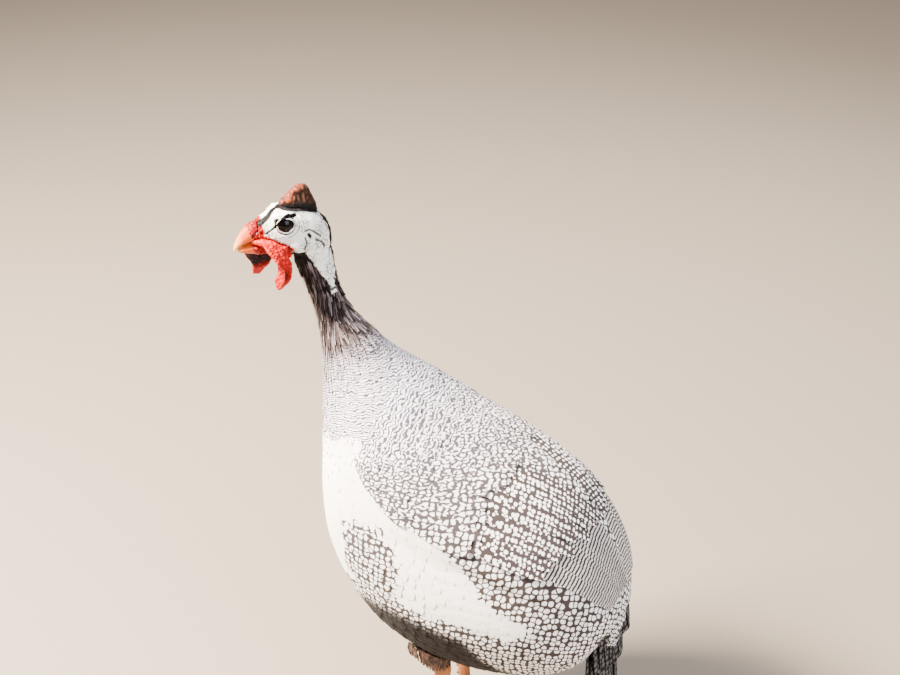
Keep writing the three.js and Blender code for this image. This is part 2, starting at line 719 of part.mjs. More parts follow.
for (const side of sides) {
  const hand = side > 0 ? "left" : "right";
  const thigh = drumstick(side).trimByPlane([0, 0, 1], HOCK_HEIGHT + SEAM);
  const shank = shankForm(side)
    .trimByPlane([0, 0, -1], -HOCK_HEIGHT)
    .trimByPlane([0, 0, 1], ANKLE_TOP + SEAM);
  bird.add(node("drumstick_" + hand, thigh, COLOURS.plumage, 0.9));
  bird.add(node("shank_" + hand, shank, COLOURS.leg, 0.65));
  bird.add(node("foot_" + hand, footSolid(side), COLOURS.leg, 0.65));
  for (const [place, toe] of Object.entries(TOES)) {
    bird.add(node(`claw_${hand}_${place}`, clawSolid(side, toe), COLOURS.claw, 0.4));
  }
}

// The origin is on the ground, under the middle of the bird's box.
const box = new THREE.Box3().setFromObject(bird, true);
bird.position.set(-(box.min.x + box.max.x) / 2, -(box.min.y + box.max.y) / 2, -box.min.z);

export default bird;
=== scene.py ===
import functools
import math
import bpy
import numpy as np
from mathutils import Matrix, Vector, noise
from mathutils.bvhtree import BVHTree


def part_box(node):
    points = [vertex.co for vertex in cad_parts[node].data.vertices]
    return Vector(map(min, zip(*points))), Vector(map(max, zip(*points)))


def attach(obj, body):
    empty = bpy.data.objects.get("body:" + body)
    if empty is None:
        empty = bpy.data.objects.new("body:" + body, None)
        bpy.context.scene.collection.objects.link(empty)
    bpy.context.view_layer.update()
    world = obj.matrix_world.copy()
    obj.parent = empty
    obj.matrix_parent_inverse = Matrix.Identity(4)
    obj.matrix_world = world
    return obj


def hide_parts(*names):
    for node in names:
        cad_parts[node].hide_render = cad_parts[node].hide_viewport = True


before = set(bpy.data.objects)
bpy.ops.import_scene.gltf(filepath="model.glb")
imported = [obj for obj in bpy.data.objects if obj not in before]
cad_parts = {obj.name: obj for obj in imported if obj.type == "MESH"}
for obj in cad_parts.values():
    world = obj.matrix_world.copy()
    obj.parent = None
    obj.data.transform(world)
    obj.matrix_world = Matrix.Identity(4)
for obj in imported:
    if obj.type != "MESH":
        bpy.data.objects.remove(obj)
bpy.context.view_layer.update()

# Body skin
# The warm skin under the feathers runs from the rump over the breast and up the neck in one piece.
# It is drawn in rings round the bird's own axis, each ring laid against the solid body, and sunk by
# the depth of the coat. Over each shoulder it swells with the folded wing.

EYE_AHEAD, EYE_UP = 1.2, 2.4  # of the eyes from the head's middle, in millimetres
BILL_X, BILL_Y = 0.643, -0.766  # the way the bill points, 40 degrees to the bird's left
DRAWN_X, DRAWN_Y = 0.006, -0.142  # where the slices below have the head's middle, in metres
eye_corners = [Vector(corner) for side in ("left", "right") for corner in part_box("eye_" + side)]
head_middle = sum(eye_corners, Vector()) / 4 - Vector((BILL_X * EYE_AHEAD, BILL_Y * EYE_AHEAD, EYE_UP)) / 1000
SHIFT = Vector((head_middle.x - DRAWN_X, head_middle.y - DRAWN_Y, 0.0))
# Slices as [back forward, back up, belly forward, belly up, half width], in millimetres.
SLICES = np.array([
    [-119, 136, -115, 133, 7], [-123.5, 156, -110, 142, 18], [-125, 187, -104, 142, 30],
    [-117.5, 221, -96, 124, 45], [-102.5, 251, -76, 108, 58], [-80, 277, -44, 98, 68],
    [-50, 297.5, -7, 95, 74], [-18, 313, 31, 101, 76], [12, 326.5, 67, 120, 74], [36, 341, 96, 151, 67],
    [56, 354, 114, 190, 58], [71, 366, 120, 234, 46], [83, 377, 119, 278, 35], [96, 387, 118, 322, 25],
    [104, 398, 120, 357, 17], [109.5, 410, 127, 384, 13.2], [112.5, 423, 136.5, 405, 12.4],
    [115.5, 436, 143, 422, 12.2], [118, 442, 141, 436, 7.5],
], dtype=float)
SLICE_LEFT = np.array([0] * 12 + [-1, -2, -4, -7, -9, -8, -6], dtype=float)
RINGS, AROUND = 170, 120  # rings along the body, and points round each
COAT_DEPTH = 0.0022
FIRST_SLICE, LAST_SLICE = 0.35, 17.6  # the rings lie between these, counted in slices
slice_at = np.linspace(FIRST_SLICE, LAST_SLICE, RINGS)
angle_at = np.linspace(-math.pi, math.pi, AROUND + 1)


def smoothed(values, passes, axis=0, wrap=False):
    for _ in range(passes):
        if wrap:
            values = (np.roll(values, 1, axis) + 2 * values + np.roll(values, -1, axis)) / 4
        else:
            inner = (values[:-2] + 2 * values[1:-1] + values[2:]) / 4
            values = np.concatenate([values[:1], inner, values[-1:]])
    return values


def surface_of(*meshes):
    """The faces of these meshes, for finding where a ray meets them or what lies nearest."""
    corners, faces = [], []
    for mesh in meshes:
        start = len(corners)
        corners += [v.co.copy() for v in mesh.vertices]
        faces += [[start + i for i in p.vertices] for p in mesh.polygons]
    return BVHTree.FromPolygons(corners, faces)


def body_rings():
    """A grid of points on the solid body, slice by slice and round each slice from the belly."""
    columns = [np.interp(slice_at, np.arange(len(SLICES)), column) for column in (*SLICES.T, SLICE_LEFT)]
    back_ahead, back_up, belly_ahead, belly_up, half, left = smoothed(np.stack(columns, 1), 6).T / 1000
    back = np.stack([left, -back_ahead, back_up], 1)
    belly = np.stack([left, -belly_ahead, belly_up], 1)
    centre = (back + belly) / 2 + np.array(SHIFT)
    up = (back - belly) / 2
    solid = surface_of(*(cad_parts[name].data for name in ("torso", "neck", "tail")))
    reach = np.zeros((RINGS, AROUND))
    heading = np.zeros((RINGS, AROUND, 3))
    for r in range(RINGS):
        for a in range(AROUND):
            way = up[r] * math.cos(angle_at[a]) + np.array([half[r] * math.sin(angle_at[a]), 0, 0])
            length = np.linalg.norm(way)
            way /= length
            # The ray starts 30 mm outside the slice, and the skin follows the solid to 6 % beyond the slice.
            hit = solid.ray_cast(Vector(centre[r] + way * (length + 0.03)), Vector(-way))[0]
            found = np.linalg.norm(np.array(hit) - centre[r]) if hit else length
            reach[r, a] = min(found, length * 1.06)
            heading[r, a] = way
    reach = smoothed(smoothed(reach, 3), 3, axis=1, wrap=True)
    points = centre[:, None] + heading * reach[..., None]
    return np.concatenate([points, points[:, :1]], 1), centre, up, half


def normals_of(points):
    along = np.gradient(points, axis=0)
    around = np.gradient(points, axis=1)
    around[:, 0] = around[:, -1] = points[:, 1] - points[:, -2]
    out = np.cross(along, around)
    return out / np.linalg.norm(out, axis=2, keepdims=True)


def shoulder_swell(slices, angles):
    """How far the folded wing stands out over the body, in metres."""
    side = np.degrees(np.abs(angles))
    along = np.interp(slices, [2.0, 2.8, 5, 6.5, 8.4, 9.6, 10.6, 11.4], [0, 1.2, 3.4, 5.2, 6.4, 5.0, 1.8, 0])
    lower = np.interp(slices, [6.5, 9.0], [66, 62])
    fall = np.interp(slices, [6.5, 8.5], [7, 20])
    up = np.clip((side - 8) / 30, 0, 1)
    down = np.clip((lower + fall - side) / fall, 0, 1)
    return 0.001 * along * up**2 * (3 - 2 * up) * down**2 * (3 - 2 * down)


solid_rings, ring_centre, ring_up, ring_half = body_rings()
out_from_body = normals_of(solid_rings)
slice_grid, angle_grid = np.meshgrid(slice_at, angle_at, indexing="ij")
flesh = solid_rings + out_from_body * (shoulder_swell(slice_grid, angle_grid) - COAT_DEPTH)[..., None]
out_from_flesh = normals_of(flesh)
step_along = np.linalg.norm(np.gradient(flesh, slice_at, axis=0), axis=2)
step_round = np.linalg.norm(np.gradient(flesh, angle_at, axis=1), axis=2)
ring_gaps = np.linalg.norm(np.diff(flesh, axis=0), axis=2)
run_along = np.concatenate([np.zeros((1, AROUND + 1)), np.cumsum(ring_gaps, 0)])
run_along = (run_along[-1:] - run_along) * 1000
# The wavy lines lean with the distance from the middle of the back, so that they lie level on the shoulder.
LINE_LEAN = 0.6
lines_along = run_along + LINE_LEAN * np.sqrt(angle_grid**2 + 0.12) * step_round * 1000


def mesh_object(name, points, faces, uvs={}, numbers={}):
    """A mesh from arrays: points, faces of one length, a UV map per corner point and a number per point."""
    mesh = bpy.data.meshes.new(name)
    size = faces.shape[1]
    mesh.vertices.add(len(points))
    mesh.vertices.foreach_set("co", np.ascontiguousarray(points, dtype=np.float32).ravel())
    mesh.loops.add(faces.size)
    mesh.loops.foreach_set("vertex_index", faces.ravel().astype(np.int32))
    mesh.polygons.add(len(faces))
    mesh.polygons.foreach_set("loop_start", np.arange(0, faces.size, size, dtype=np.int32))
    mesh.update(calc_edges=True)
    for layer, values in uvs.items():
        at_corners = values[faces.ravel()].astype(np.float32)
        mesh.uv_layers.new(name=layer).data.foreach_set("uv", at_corners.ravel())
    for layer, values in numbers.items():
        mesh.attributes.new(layer, "FLOAT", "POINT").data.foreach_set("value", values.astype(np.float32))
    made = bpy.data.objects.new(name, mesh)
    bpy.context.collection.objects.link(made)
    bpy.ops.object.select_all(action="DESELECT")
    made.select_set(True)
    bpy.context.view_layer.objects.active = made
    bpy.ops.object.shade_smooth_by_angle(angle=math.radians(50))
    return made


ZONES_BACK = 21.5  # how much further back the zones below are drawn than the slices, in millimetres


def drawn_place(points):
    """x, y and z of points as the zones of the plumage are drawn, in millimetres."""
    return points[..., 0] * 1000, (points[..., 1] - SHIFT.y) * 1000 + ZONES_BACK, points[..., 2] * 1000


def white_share(points):
    """How white the plumage is there, from 0 to 1: a white breast, with a grey spotted patch in it."""
    x, y, z = drawn_place(points)
    top = np.interp(y, [-90, -77, -61, -46, -37, -22, -13, -4, 5, 21, 34, 44, 51, 66, 80, 90],
                    [298, 304, 311, 313, 308, 300, 289, 277, 265, 255, 241, 229, 217, 203, 194, 184])
    low = np.interp(y, [-90, -75, -45, -29, -12, 4, 44, 66, 82, 95],
                    [170, 178, 194, 196, 192, 185, 184, 177, 182, 181])
    inside = np.minimum(np.minimum(top - z, z - low), (90 - y) * 0.6)
    patch = 26 * (np.hypot((y + 38) / 25, (z - 221) / 34) - 1)
    return np.clip(0.5 + np.minimum(inside, np.where(x > 30, patch, 40)) / 30, 0, 1)


def spot_zone(points):
    """0 where the plumage has fine wavy lines, 0.5 for small spots and 1 for large round ones."""
    _, y, z = drawn_place(points)
    lowness = np.interp(z, [150, 200, 245, 290, 325, 345], [1, 0.95, 0.72, 0.5, 0.2, 0])
    return np.clip(lowness + np.interp(y, [-60, 0, 60, 120], [-0.1, 0, 0.1, 0.2]), 0, 1)


def neck_dark(points):
    """How black the plumage is: black under the jaw and on the nape, fading over the collar."""
    _, y, z = drawn_place(points)
    return np.interp(z - 0.5 * (y + 80), [318, 335, 350, 357, 367, 375, 382, 397, 411],
                     [0, 0.06, 0.2, 0.27, 0.42, 0.52, 0.62, 0.85, 1])


def belly_shade(points):
    """1 under the belly, where shade is painted dark onto the plumage."""
    _, y, z = drawn_place(points)
    line = np.interp(y, [-85, -62, -45, -17, 8, 37, 49, 60, 75, 95],
                     [145, 160, 172, 176, 172, 166, 146, 130, 118, 112])
    return 1 - np.exp(-4 * np.clip((line + 5 - z) / 10, 0, 1.2))


ring_index = np.arange(RINGS * (AROUND + 1)).reshape(RINGS, AROUND + 1)
flat_points = flesh.reshape(-1, 3)
corners = [ring_index[:-1, :-1], ring_index[:-1, 1:], ring_index[1:, 1:], ring_index[1:, :-1]]
quads = np.stack(corners, -1).reshape(-1, 4)
unwrapping = mesh_object("unwrapping", flat_points, quads, {"Spots": np.zeros((len(flat_points), 2))})
bpy.ops.object.mode_set(mode="EDIT")
bpy.ops.mesh.select_all(action="SELECT")
bpy.ops.uv.unwrap(method="MINIMUM_STRETCH", margin=0.0, iterations=5)
bpy.ops.object.mode_set(mode="OBJECT")
corner_uv = np.zeros(quads.size * 2, dtype=np.float32)
unwrapping.data.uv_layers["Spots"].data.foreach_get("uv", corner_uv)
bpy.data.objects.remove(unwrapping)
# The unwrap is kept in its own size for the baked colours, and in millimetres for the spots.
bake_uv = np.zeros((len(flat_points), 2))
bake_uv[quads.ravel()] = corner_uv.reshape(-1, 2)
bake_uv = bake_uv.reshape(RINGS, AROUND + 1, 2)
uv_gaps = np.linalg.norm(np.diff(bake_uv, axis=0), axis=2)
spot_uv = bake_uv * np.median(1000 * ring_gaps / np.maximum(uv_gaps, 1e-9))


def at_grid(grid, slices, angles):
    """Reads a grid between its points, at these slices and angles. It runs straight on past the belly."""
    r = np.clip((slices - FIRST_SLICE) / (LAST_SLICE - FIRST_SLICE) * (RINGS - 1), 0, RINGS - 1.001)
    a = (angles + math.pi) / (2 * math.pi) * AROUND
    a_low = np.clip(np.floor(a), 0, AROUND - 1).astype(int)
    r_low = r.astype(int)
    r_share, a_share = r - r_low, a - a_low
    if grid.ndim == 3:
        r_share, a_share = r_share[..., None], a_share[..., None]
    near = grid[r_low, a_low] * (1 - a_share) + grid[r_low, a_low + 1] * a_share
    far = grid[r_low + 1, a_low] * (1 - a_share) + grid[r_low + 1, a_low + 1] * a_share
    return near * (1 - r_share) + far * r_share


def wrapped(angles):
    return (angles + math.pi) % (2 * math.pi) - math.pi


def srgb(code):
    parts = [int(code[i : i + 2], 16) / 255 for i in (1, 3, 5)]
    return tuple(c / 12.92 if c <= 0.04045 else ((c + 0.055) / 1.055) ** 2.4 for c in parts) + (1.0,)


def plug_in(made, *values, **named):
    """Sets a node's inputs, in their order, by name, or by i and a number: to a value, colour or link."""
    for where, value in [*enumerate(values), *named.items()]:
        if isinstance(where, str):
            where = int(where[1:]) if where[1:].isdigit() else where.replace("_", " ")
        if isinstance(value, bpy.types.NodeSocket):
            made.id_data.links.new(value, made.inputs[where])
        else:
            made.inputs[where].default_value = srgb(value) if isinstance(value, str) else value


def add_node(tree, kind, settings={}, *values, out=0, **named):
    """Adds a shader node and gives one of its outputs, or several. settings are its own choices, with the
    stops of a colour ramp among them, or only its operation. The rest goes to its inputs."""
    made = tree.nodes.new("ShaderNode" + kind)
    settings = {"operation": settings} if isinstance(settings, str) else dict(settings)
    for i, (place, colour) in enumerate(settings.pop("stops", ())):
        stop = made.color_ramp.elements[i] if i < 2 else made.color_ramp.elements.new(place)
        stop.position = place
        stop.color = srgb(colour) if isinstance(colour, str) else (colour, colour, colour, 1)
    for name, choice in settings.items():
        setattr(made, name, choice)
    plug_in(made, *values, **named)
    return [made.outputs[o] for o in out] if isinstance(out, tuple) else made.outputs[out]


def new_material(name, *marks):
    """A material, its surface node, what adds further nodes to it, and the numbers that it reads from the
    marks on a mesh."""
    made = bpy.data.materials.new(name)
    made.use_nodes = True
    tree = made.node_tree
    tree.nodes.clear()
    shader = tree.nodes.new("ShaderNodeBsdfPrincipled")
    output = tree.nodes.new("ShaderNodeOutputMaterial")
    tree.links.new(shader.outputs[0], output.inputs[0])
    add = functools.partial(add_node, tree)
    return made, shader, add, *(add("Attribute", {"attribute_name": mark}, out="Fac") for mark in marks)


def painted(add, coat, *layers):
    """A colour with further ones laid over it. Each layer is the share that it covers and its colour."""
    for share, colour in layers:
        coat = add("Mix", {"data_type": "RGBA"}, share, i6=coat, i7=colour, out=2)
    return coat


def varied(add, coat, tone, darkest):
    """The coat, on some feathers a little darker than on others."""
    shade = add("ValToRGB", {"stops": [(0.0, darkest), (1.0, 1.0)]}, tone)
    return add("Mix", {"data_type": "RGBA", "blend_type": "MULTIPLY"}, 1.0, i6=coat, i7=shade, out=2)


BARB_GAP = 0.7  # in millimetres, twice that of real barbs, since finer ones don't show


def barb_rows(add, across, along):
    """The barbs of a vane, as fine ridges that leave its shaft at a slant."""
    slant = add("Math", "MULTIPLY_ADD", add("Math", "ABSOLUTE", across), 0.9, along)
    rows = add("Math", "SINE", add("Math", "MULTIPLY", slant, 2 * math.pi / BARB_GAP))
    return add("Bump", Strength=0.25, Distance=0.0002, Height=rows)


FLAT_NOISE = {"noise_dimensions": "2D"}
FLAT_CELLS = {"voronoi_dimensions": "2D"}
FLAT_CELL_EDGES = {"voronoi_dimensions": "2D", "feature": "DISTANCE_TO_EDGE"}
SOFT_STEP = {"interpolation_type": "SMOOTHSTEP"}
PEARL_GAP, SMALL_GAP, LINE_GAP = 4.4, 2.7, 2.75  # of the pearls, small spots and lines, in millimetres


def plumage_material(name):
    """Pearl plumage: keratin barbs, matt and slightly silky. White pearls on slate brown on the flank, which
    shrink to small spots and then to wavy lines towards the neck."""
    made, shader, add, *marks = new_material(name, "zone", "white", "dark", "tone", "dusk")
    zone, white, dark, tone, dusk = marks
    spots, lie, vane = (add("UVMap", {"uv_map": layer}) for layer in ("Spots", "Lie", "Vane"))
    wobble = add("TexNoise", FLAT_NOISE, Vector=spots, Scale=0.14, Detail=1.0, out="Color")
    warped = add("VectorMath", "MULTIPLY_ADD", wobble, (2.2, 2.2, 0), spots)
    middles, edges = (
        add("TexVoronoi", kind, Vector=warped, Scale=1 / PEARL_GAP, Randomness=0.55)
        for kind in (FLAT_CELLS, FLAT_CELL_EDGES)
    )
    middles = add("Math", "MULTIPLY_ADD", middles, -1.3, 1.07)
    large = add("Math", "MINIMUM", middles, add("Math", "MULTIPLY_ADD", edges, 2.2, 0.30))
    drawn_out = add("Mapping", {}, warped, Scale=(0.6, 1.0, 1.0))
    small = add("TexVoronoi", FLAT_CELL_EDGES, Vector=drawn_out, Scale=1 / SMALL_GAP, Randomness=1.0)
    breaks = add("TexNoise", FLAT_NOISE, Vector=spots, Scale=0.55, Detail=0.0)
    small = add("Math", "MULTIPLY_ADD", small, 1.35, add("Math", "MULTIPLY", breaks, 0.5))
    bend = add("TexNoise", FLAT_NOISE, Vector=spots, Scale=0.2, Detail=2.0, Roughness=0.5)
    phase = add("Math", "MULTIPLY_ADD", bend, 6.5, add("SeparateXYZ", {}, lie))
    waves = add("Math", "SINE", add("Math", "MULTIPLY", phase, 2 * math.pi / LINE_GAP))
    lines = add("Math", "MULTIPLY_ADD", waves, 0.3, 0.55)
    low_share = add("Math", {"operation": "MULTIPLY", "use_clamp": True}, zone, 1.7)
    high_share = add("Math", {"operation": "MULTIPLY_ADD", "use_clamp": True}, zone, 2.4, -0.95)
    field = add("Mix", {}, low_share, i2=lines, i3=small)
    field = add("Mix", {}, high_share, i2=field, i3=large)
    torn = add("TexNoise", FLAT_NOISE, Vector=spots, Scale=0.1, Detail=3.0, Roughness=0.6)
    whiter = add("Math", "MULTIPLY_ADD", torn, 1.5, add("Math", "MULTIPLY_ADD", white, 2.2, -1.75))
    whiter = add("Math", {"operation": "MULTIPLY", "use_clamp": True}, whiter, 1.3)
    pearl = add("MapRange", SOFT_STEP, add("Math", "ADD", field, whiter), 0.46, 0.6)
    slate = add("ValToRGB", {"stops": [(0.0, "#4f4957"), (0.45, "#474043"), (0.85, "#3c3431")]}, zone)
    pale = painted(add, "#e6e1e8", (zone, "#f6f1ec"), (whiter, "#fffaf0"))
    across, along = add("SeparateXYZ", {}, vane, out=(0, 1))
    barbs = add("Mapping", {}, vane, Scale=(1.3, 0.16, 1))
    barbs = add("TexNoise", FLAT_NOISE, Vector=barbs, Scale=1.0, Detail=3.0)
    streak = add("Math", "MULTIPLY_ADD", barbs, 0.6, add("Math", "MULTIPLY_ADD", dark, -0.43, 0.3))
    streak = add("Math", "MULTIPLY_ADD", tone, add("Math", "MULTIPLY_ADD", dark, 0.35, 0.25), streak)
    browns = [(0.26, "#0c0908"), (0.45, "#2c2321"), (0.68, "#5e5150"), (0.92, "#a5999d")]
    streak = add("ValToRGB", {"stops": browns}, streak)
    black_share = add("Math", {"operation": "MULTIPLY", "use_clamp": True}, dark, 2.4)
    coat = varied(add, painted(add, slate, (pearl, pale), (black_share, streak)), tone, 0.86)
    # Painted shade darkens the plumage under the belly and over the tail, nearly to black.
    plug_in(shader, Base_Color=painted(add, coat, (dusk, "#0e0907")), Roughness=0.75, Specular_IOR_Level=0.07,
            Sheen_Weight=0.02, Sheen_Roughness=0.5, Normal=barb_rows(add, across, along))
    return made


pearl_plumage = plumage_material("pearl_guinea_fowl_plumage")

lie_uv = np.stack([lines_along, angle_grid * step_round * 1000], -1).reshape(-1, 2)
skin_numbers = {
    "white": white_share(flesh).ravel(),
    "zone": spot_zone(flesh).ravel(),
    "dark": neck_dark(flesh).ravel(),
    "tone": np.full(len(flat_points), 0.4),
    "dusk": belly_shade(flesh).ravel(),
}
skin_uvs = {"OFBake": bake_uv.reshape(-1, 2), "Spots": spot_uv.reshape(-1, 2)}
skin_uvs.update({"Lie": lie_uv, "Vane": lie_uv[:, ::-1]})
skin = mesh_object("body_skin", flat_points, quads[:, ::-1], skin_uvs, skin_numbers)
bpy.ops.object.mode_set(mode="EDIT")
bpy.ops.mesh.select_all(action="SELECT")
bpy.ops.mesh.remove_doubles(threshold=0.00005)
bpy.ops.mesh.select_all(action="DESELECT")
bpy.ops.mesh.select_non_manifold()
bpy.ops.mesh.edge_face_add()
bpy.ops.mesh.select_all(action="SELECT")
bpy.ops.mesh.normals_make_consistent(inside=False)
bpy.ops.object.mode_set(mode="OBJECT")
skin.data.materials.append(pearl_plumage)
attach(skin, "root")
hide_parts("torso", "neck")

# Body feathers
# Small contour feathers of the back, breast, flanks and belly, each a thin cupped vane with a round tip.
# They lie in staggered rows from the neck to the rump like shingles, and carry the same pearls as the skin.

draw = np.random.default_rng(7)
TUFT_PATCH = 0.003  # of the skin's unwrap, from which each feather takes its baked colours


def vane_outline(t, narrow):
    rise = narrow + (1 - narrow) * np.minimum(1, t / 0.5) ** 0.8
    tip = np.sqrt(np.maximum(0.12, 1 - (np.maximum(0, t - 0.6) / 0.41) ** 2))
    return rise * tip


def vane_mesh(name, top, out, thick, across, along, root, numbers, spots, lie, material=None):
    """Feathers as one mesh from the grids of their upper faces, one grid to a feather. The underside shares
    the rim and hangs a little below, so that each is closed. root is its place on the skin's unwrap."""
    count, rows, columns = top.shape[0], top.shape[1] - 1, top.shape[2] - 1
    # t runs from root to tip, and c from edge to edge.
    t = np.linspace(0, 1, rows + 1)[None, :, None]
    c = np.linspace(-1, 1, columns + 1)[None, None, :]
    low = top - out * (thick * (1 - c**2) * np.sin(np.pi * np.clip(t, 0.02, 0.98)))[..., None]
    inner = np.zeros((rows + 1, columns + 1), dtype=bool)
    inner[1:-1, 1:-1] = True
    number_top = np.arange((rows + 1) * (columns + 1)).reshape(rows + 1, columns + 1)
    number_low = number_top.copy()
    number_low[inner] = number_top.size + np.arange(inner.sum())
    faces = []
    for i in range(rows):
        for j in range(columns):
            ring = [(i, j), (i + 1, j), (i + 1, j + 1), (i, j + 1)]
            faces.append([number_top[p] for p in ring])
            faces.append([number_low[p] for p in ring[::-1]])
    each = number_top.size + inner.sum()
    all_faces = (np.array(faces)[None] + (np.arange(count) * each)[:, None, None]).reshape(-1, 4)

    def both(values):
        values = np.broadcast_to(values, (count, rows + 1, columns + 1, values.shape[-1]))
        flat = np.concatenate([values.reshape(count, number_top.size, -1), values[:, inner]], 1)
        return flat.reshape(count * each, -1)

    points = np.concatenate([top.reshape(count, -1, 3), low[:, inner]], 1).reshape(-1, 3)
    patch = root[:, None, None, :] + TUFT_PATCH * np.stack([c / 2 + 0 * t, t - 0.5 + 0 * c], -1)
    vane = np.stack([across * 1000, along * 1000], -1)
    uvs = {"OFBake": both(patch), "Spots": both(spots), "Lie": both(lie), "Vane": both(vane)}
    numbers = {key: both(np.asarray(value, dtype=float)[..., None]).ravel() for key, value in numbers.items()}
    made = mesh_object(name, points, all_faces, uvs, numbers)
    made.data.materials.append(material or pearl_plumage)
    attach(made, "root")
    return made


SLICE_RUN = 24.0  # of the flank to a slice, in millimetres


def feather_coat(name, slices, angles, length, width, turn=0.0, lift=0.0, tips_up=0.001, cup=0.0006,
                 thick=0.0003, narrow=0.45, rows=5, columns=4, outline=vane_outline, tips=None, tilt=0.0,
                 jitter=0.1, material=None, **given):
    """Feathers over the body. Each is rooted at a slice and an angle and points to the tail, turned by an
    angle, or runs to its tip's slice and angle. lift is how high its root lies over the skin and tips_up how
    much more its tip does. tilt raises the lower edge, and the numbers given replace those of the place."""
    count = len(slices)

    def spread(value):
        return np.broadcast_to(np.asarray(value, dtype=float), (count,))[:, None, None]

    t = np.linspace(0, 1, rows + 1)[None, :, None] ** 0.9
    c = np.linspace(-1, 1, columns + 1)[None, None, :]
    along = spread(length) * t + 0 * c
    across = spread(width) / 2 * c * outline(t, narrow)
    if tips is None:
        heading = spread(turn)
        down_body = along * np.cos(heading) - across * np.sin(heading)
        round_body = along * np.sin(heading) + across * np.cos(heading)
        s = spread(slices) - down_body / at_grid(step_along, slices, angles)[:, None, None]
        a = spread(angles) + round_body / at_grid(step_round, slices, angles)[:, None, None]
    else:
        s_mid = spread(slices) + (spread(tips[0]) - spread(slices)) * t
        a_mid = spread(angles) + (spread(tips[1]) - spread(angles)) * t
        run, ring = at_grid(step_along, s_mid, a_mid), at_grid(step_round, s_mid, a_mid)
        sideways = (spread(tips[1]) - spread(angles)) * ring
        heading = np.arctan2(sideways, (spread(slices) - spread(tips[0])) * run)
        s = s_mid + across * np.sin(heading) / run
        a = a_mid + across * np.cos(heading) / ring
    s = np.clip(s, FIRST_SLICE, LAST_SLICE)
    base = at_grid(flesh, s, a)
    out = at_grid(out_from_flesh, s, a)
    below = np.where(spread(angles) > 0, 1, -1)
    height = spread(lift) + spread(tips_up) * t - cup * c**2 * (1 - 0.3 * t)
    height = height + spread(tilt) * (c * below + 1) / 2
    top = base + out * height[..., None]
    shift = draw.normal(0, 1, (count, 1, 1, 2)) * jitter
    numbers = {"white": white_share(base), "zone": spot_zone(base), "dark": neck_dark(base)}
    # Painted shade under the belly, as on the skin.
    numbers["dusk"] = belly_shade(base)
    numbers["tone"] = 1 - (1 - numbers["white"]) * draw.uniform(0, 1, (count, 1, 1))
    numbers.update(given)
    spots = at_grid(spot_uv, s, a) + shift
    lie = np.stack([at_grid(lines_along, s, a) if tips is None else -SLICE_RUN * s, a], -1) + shift
    root = at_grid(bake_uv, slices, angles)
    return vane_mesh(name, top, out, thick, across * below, along, root, numbers, spots, lie, material)


def shingle_roots(first, last, slices, gaps):
    """Staggered rows of roots over the body from one slice to another, as slices and angles. gaps is how far
    apart the feathers are at each of the slices, in metres."""
    roots = []
    s = last
    row = 0
    while s > first:
        gap = float(np.interp(s, slices, gaps))
        round_body = at_grid(step_round, np.array([s]), np.array([0.9]))[0]
        in_row = max(6, int(round(2 * math.pi * round_body / gap)))
        step = 2 * math.pi / in_row
        roots += [(s, -math.pi + step * (i + 0.5 * (row % 2) + 0.25)) for i in range(in_row)]
        s -= gap * 0.82 / at_grid(step_along, np.array([s]), np.array([0.9]))[0]
        row += 1
    return np.array(roots)


GAP_SLICES, GAPS = [1, 4, 8, 11, 12.5, 14, 18], [0.008, 0.0095, 0.0098, 0.0078, 0.0058, 0.0042, 0.0034]
roots = shingle_roots(0.6, 12.9, GAP_SLICES, GAPS)
roots += draw.normal(0, 1, roots.shape) * np.array([0.03, 0.018])
slices, angles = roots[:, 0], wrapped(roots[:, 1])
side = np.abs(np.degrees(angles))
in_the_open = ~((slices > 3.1) & (slices < 9.2) & (side > 12) & (side < 66))
slices, angles = slices[in_the_open], angles[in_the_open]
gap = np.interp(slices, GAP_SLICES, GAPS)
feather_coat(
    "body_feathers", slices, angles, gap * 2.7, gap * 1.75, draw.normal(0, 0.08, len(gap)), 0.0003,
    (0.0012 + draw.uniform(0, 0.0004, len(gap))) * (1 - 0.6 * white_share(at_grid(flesh, slices, angles)))
    * np.interp(slices, [8.5, 11], [1, 0.5]),
)

# Neck hackles
# Narrow pointed feathers, black and bristly under the jaw and on the nape, slate with pale edges lower down,
# that lie close and fan out over the collar.


def hackle_outline(t, narrow):
    return (narrow + (1 - narrow) * np.minimum(1, t / 0.3)) * np.clip(1.02 - t, 0.05, 1) ** 0.55


roots = shingle_roots(12.2, 17.0, [12, 14, 17], [0.0052, 0.0035, 0.0026])
roots += draw.normal(0, 1, roots.shape) * np.array([0.05, 0.04])
slices, angles = roots[:, 0], wrapped(roots[:, 1])
length = np.interp(slices, [12, 14, 17], [0.021, 0.016, 0.010])
feather_coat(
    "neck_hackles", slices, angles, length, length * 0.24, draw.normal(0, 0.12, len(length)), 0.0003,
    draw.uniform(0.0004, 0.0012, len(length)) * (1 + neck_dark(at_grid(flesh, slices, angles))),
    cup=0.0002, rows=4, columns=2, narrow=0.6, outline=hackle_outline, zone=0.0,
)

# Folded wings
# The flight feathers of each wing lie folded along the flank: primaries lowest, then the barred secondaries,
# with greater, median and lesser coverts shingled over their roots. Stiff vanes of keratin, a little cupped.


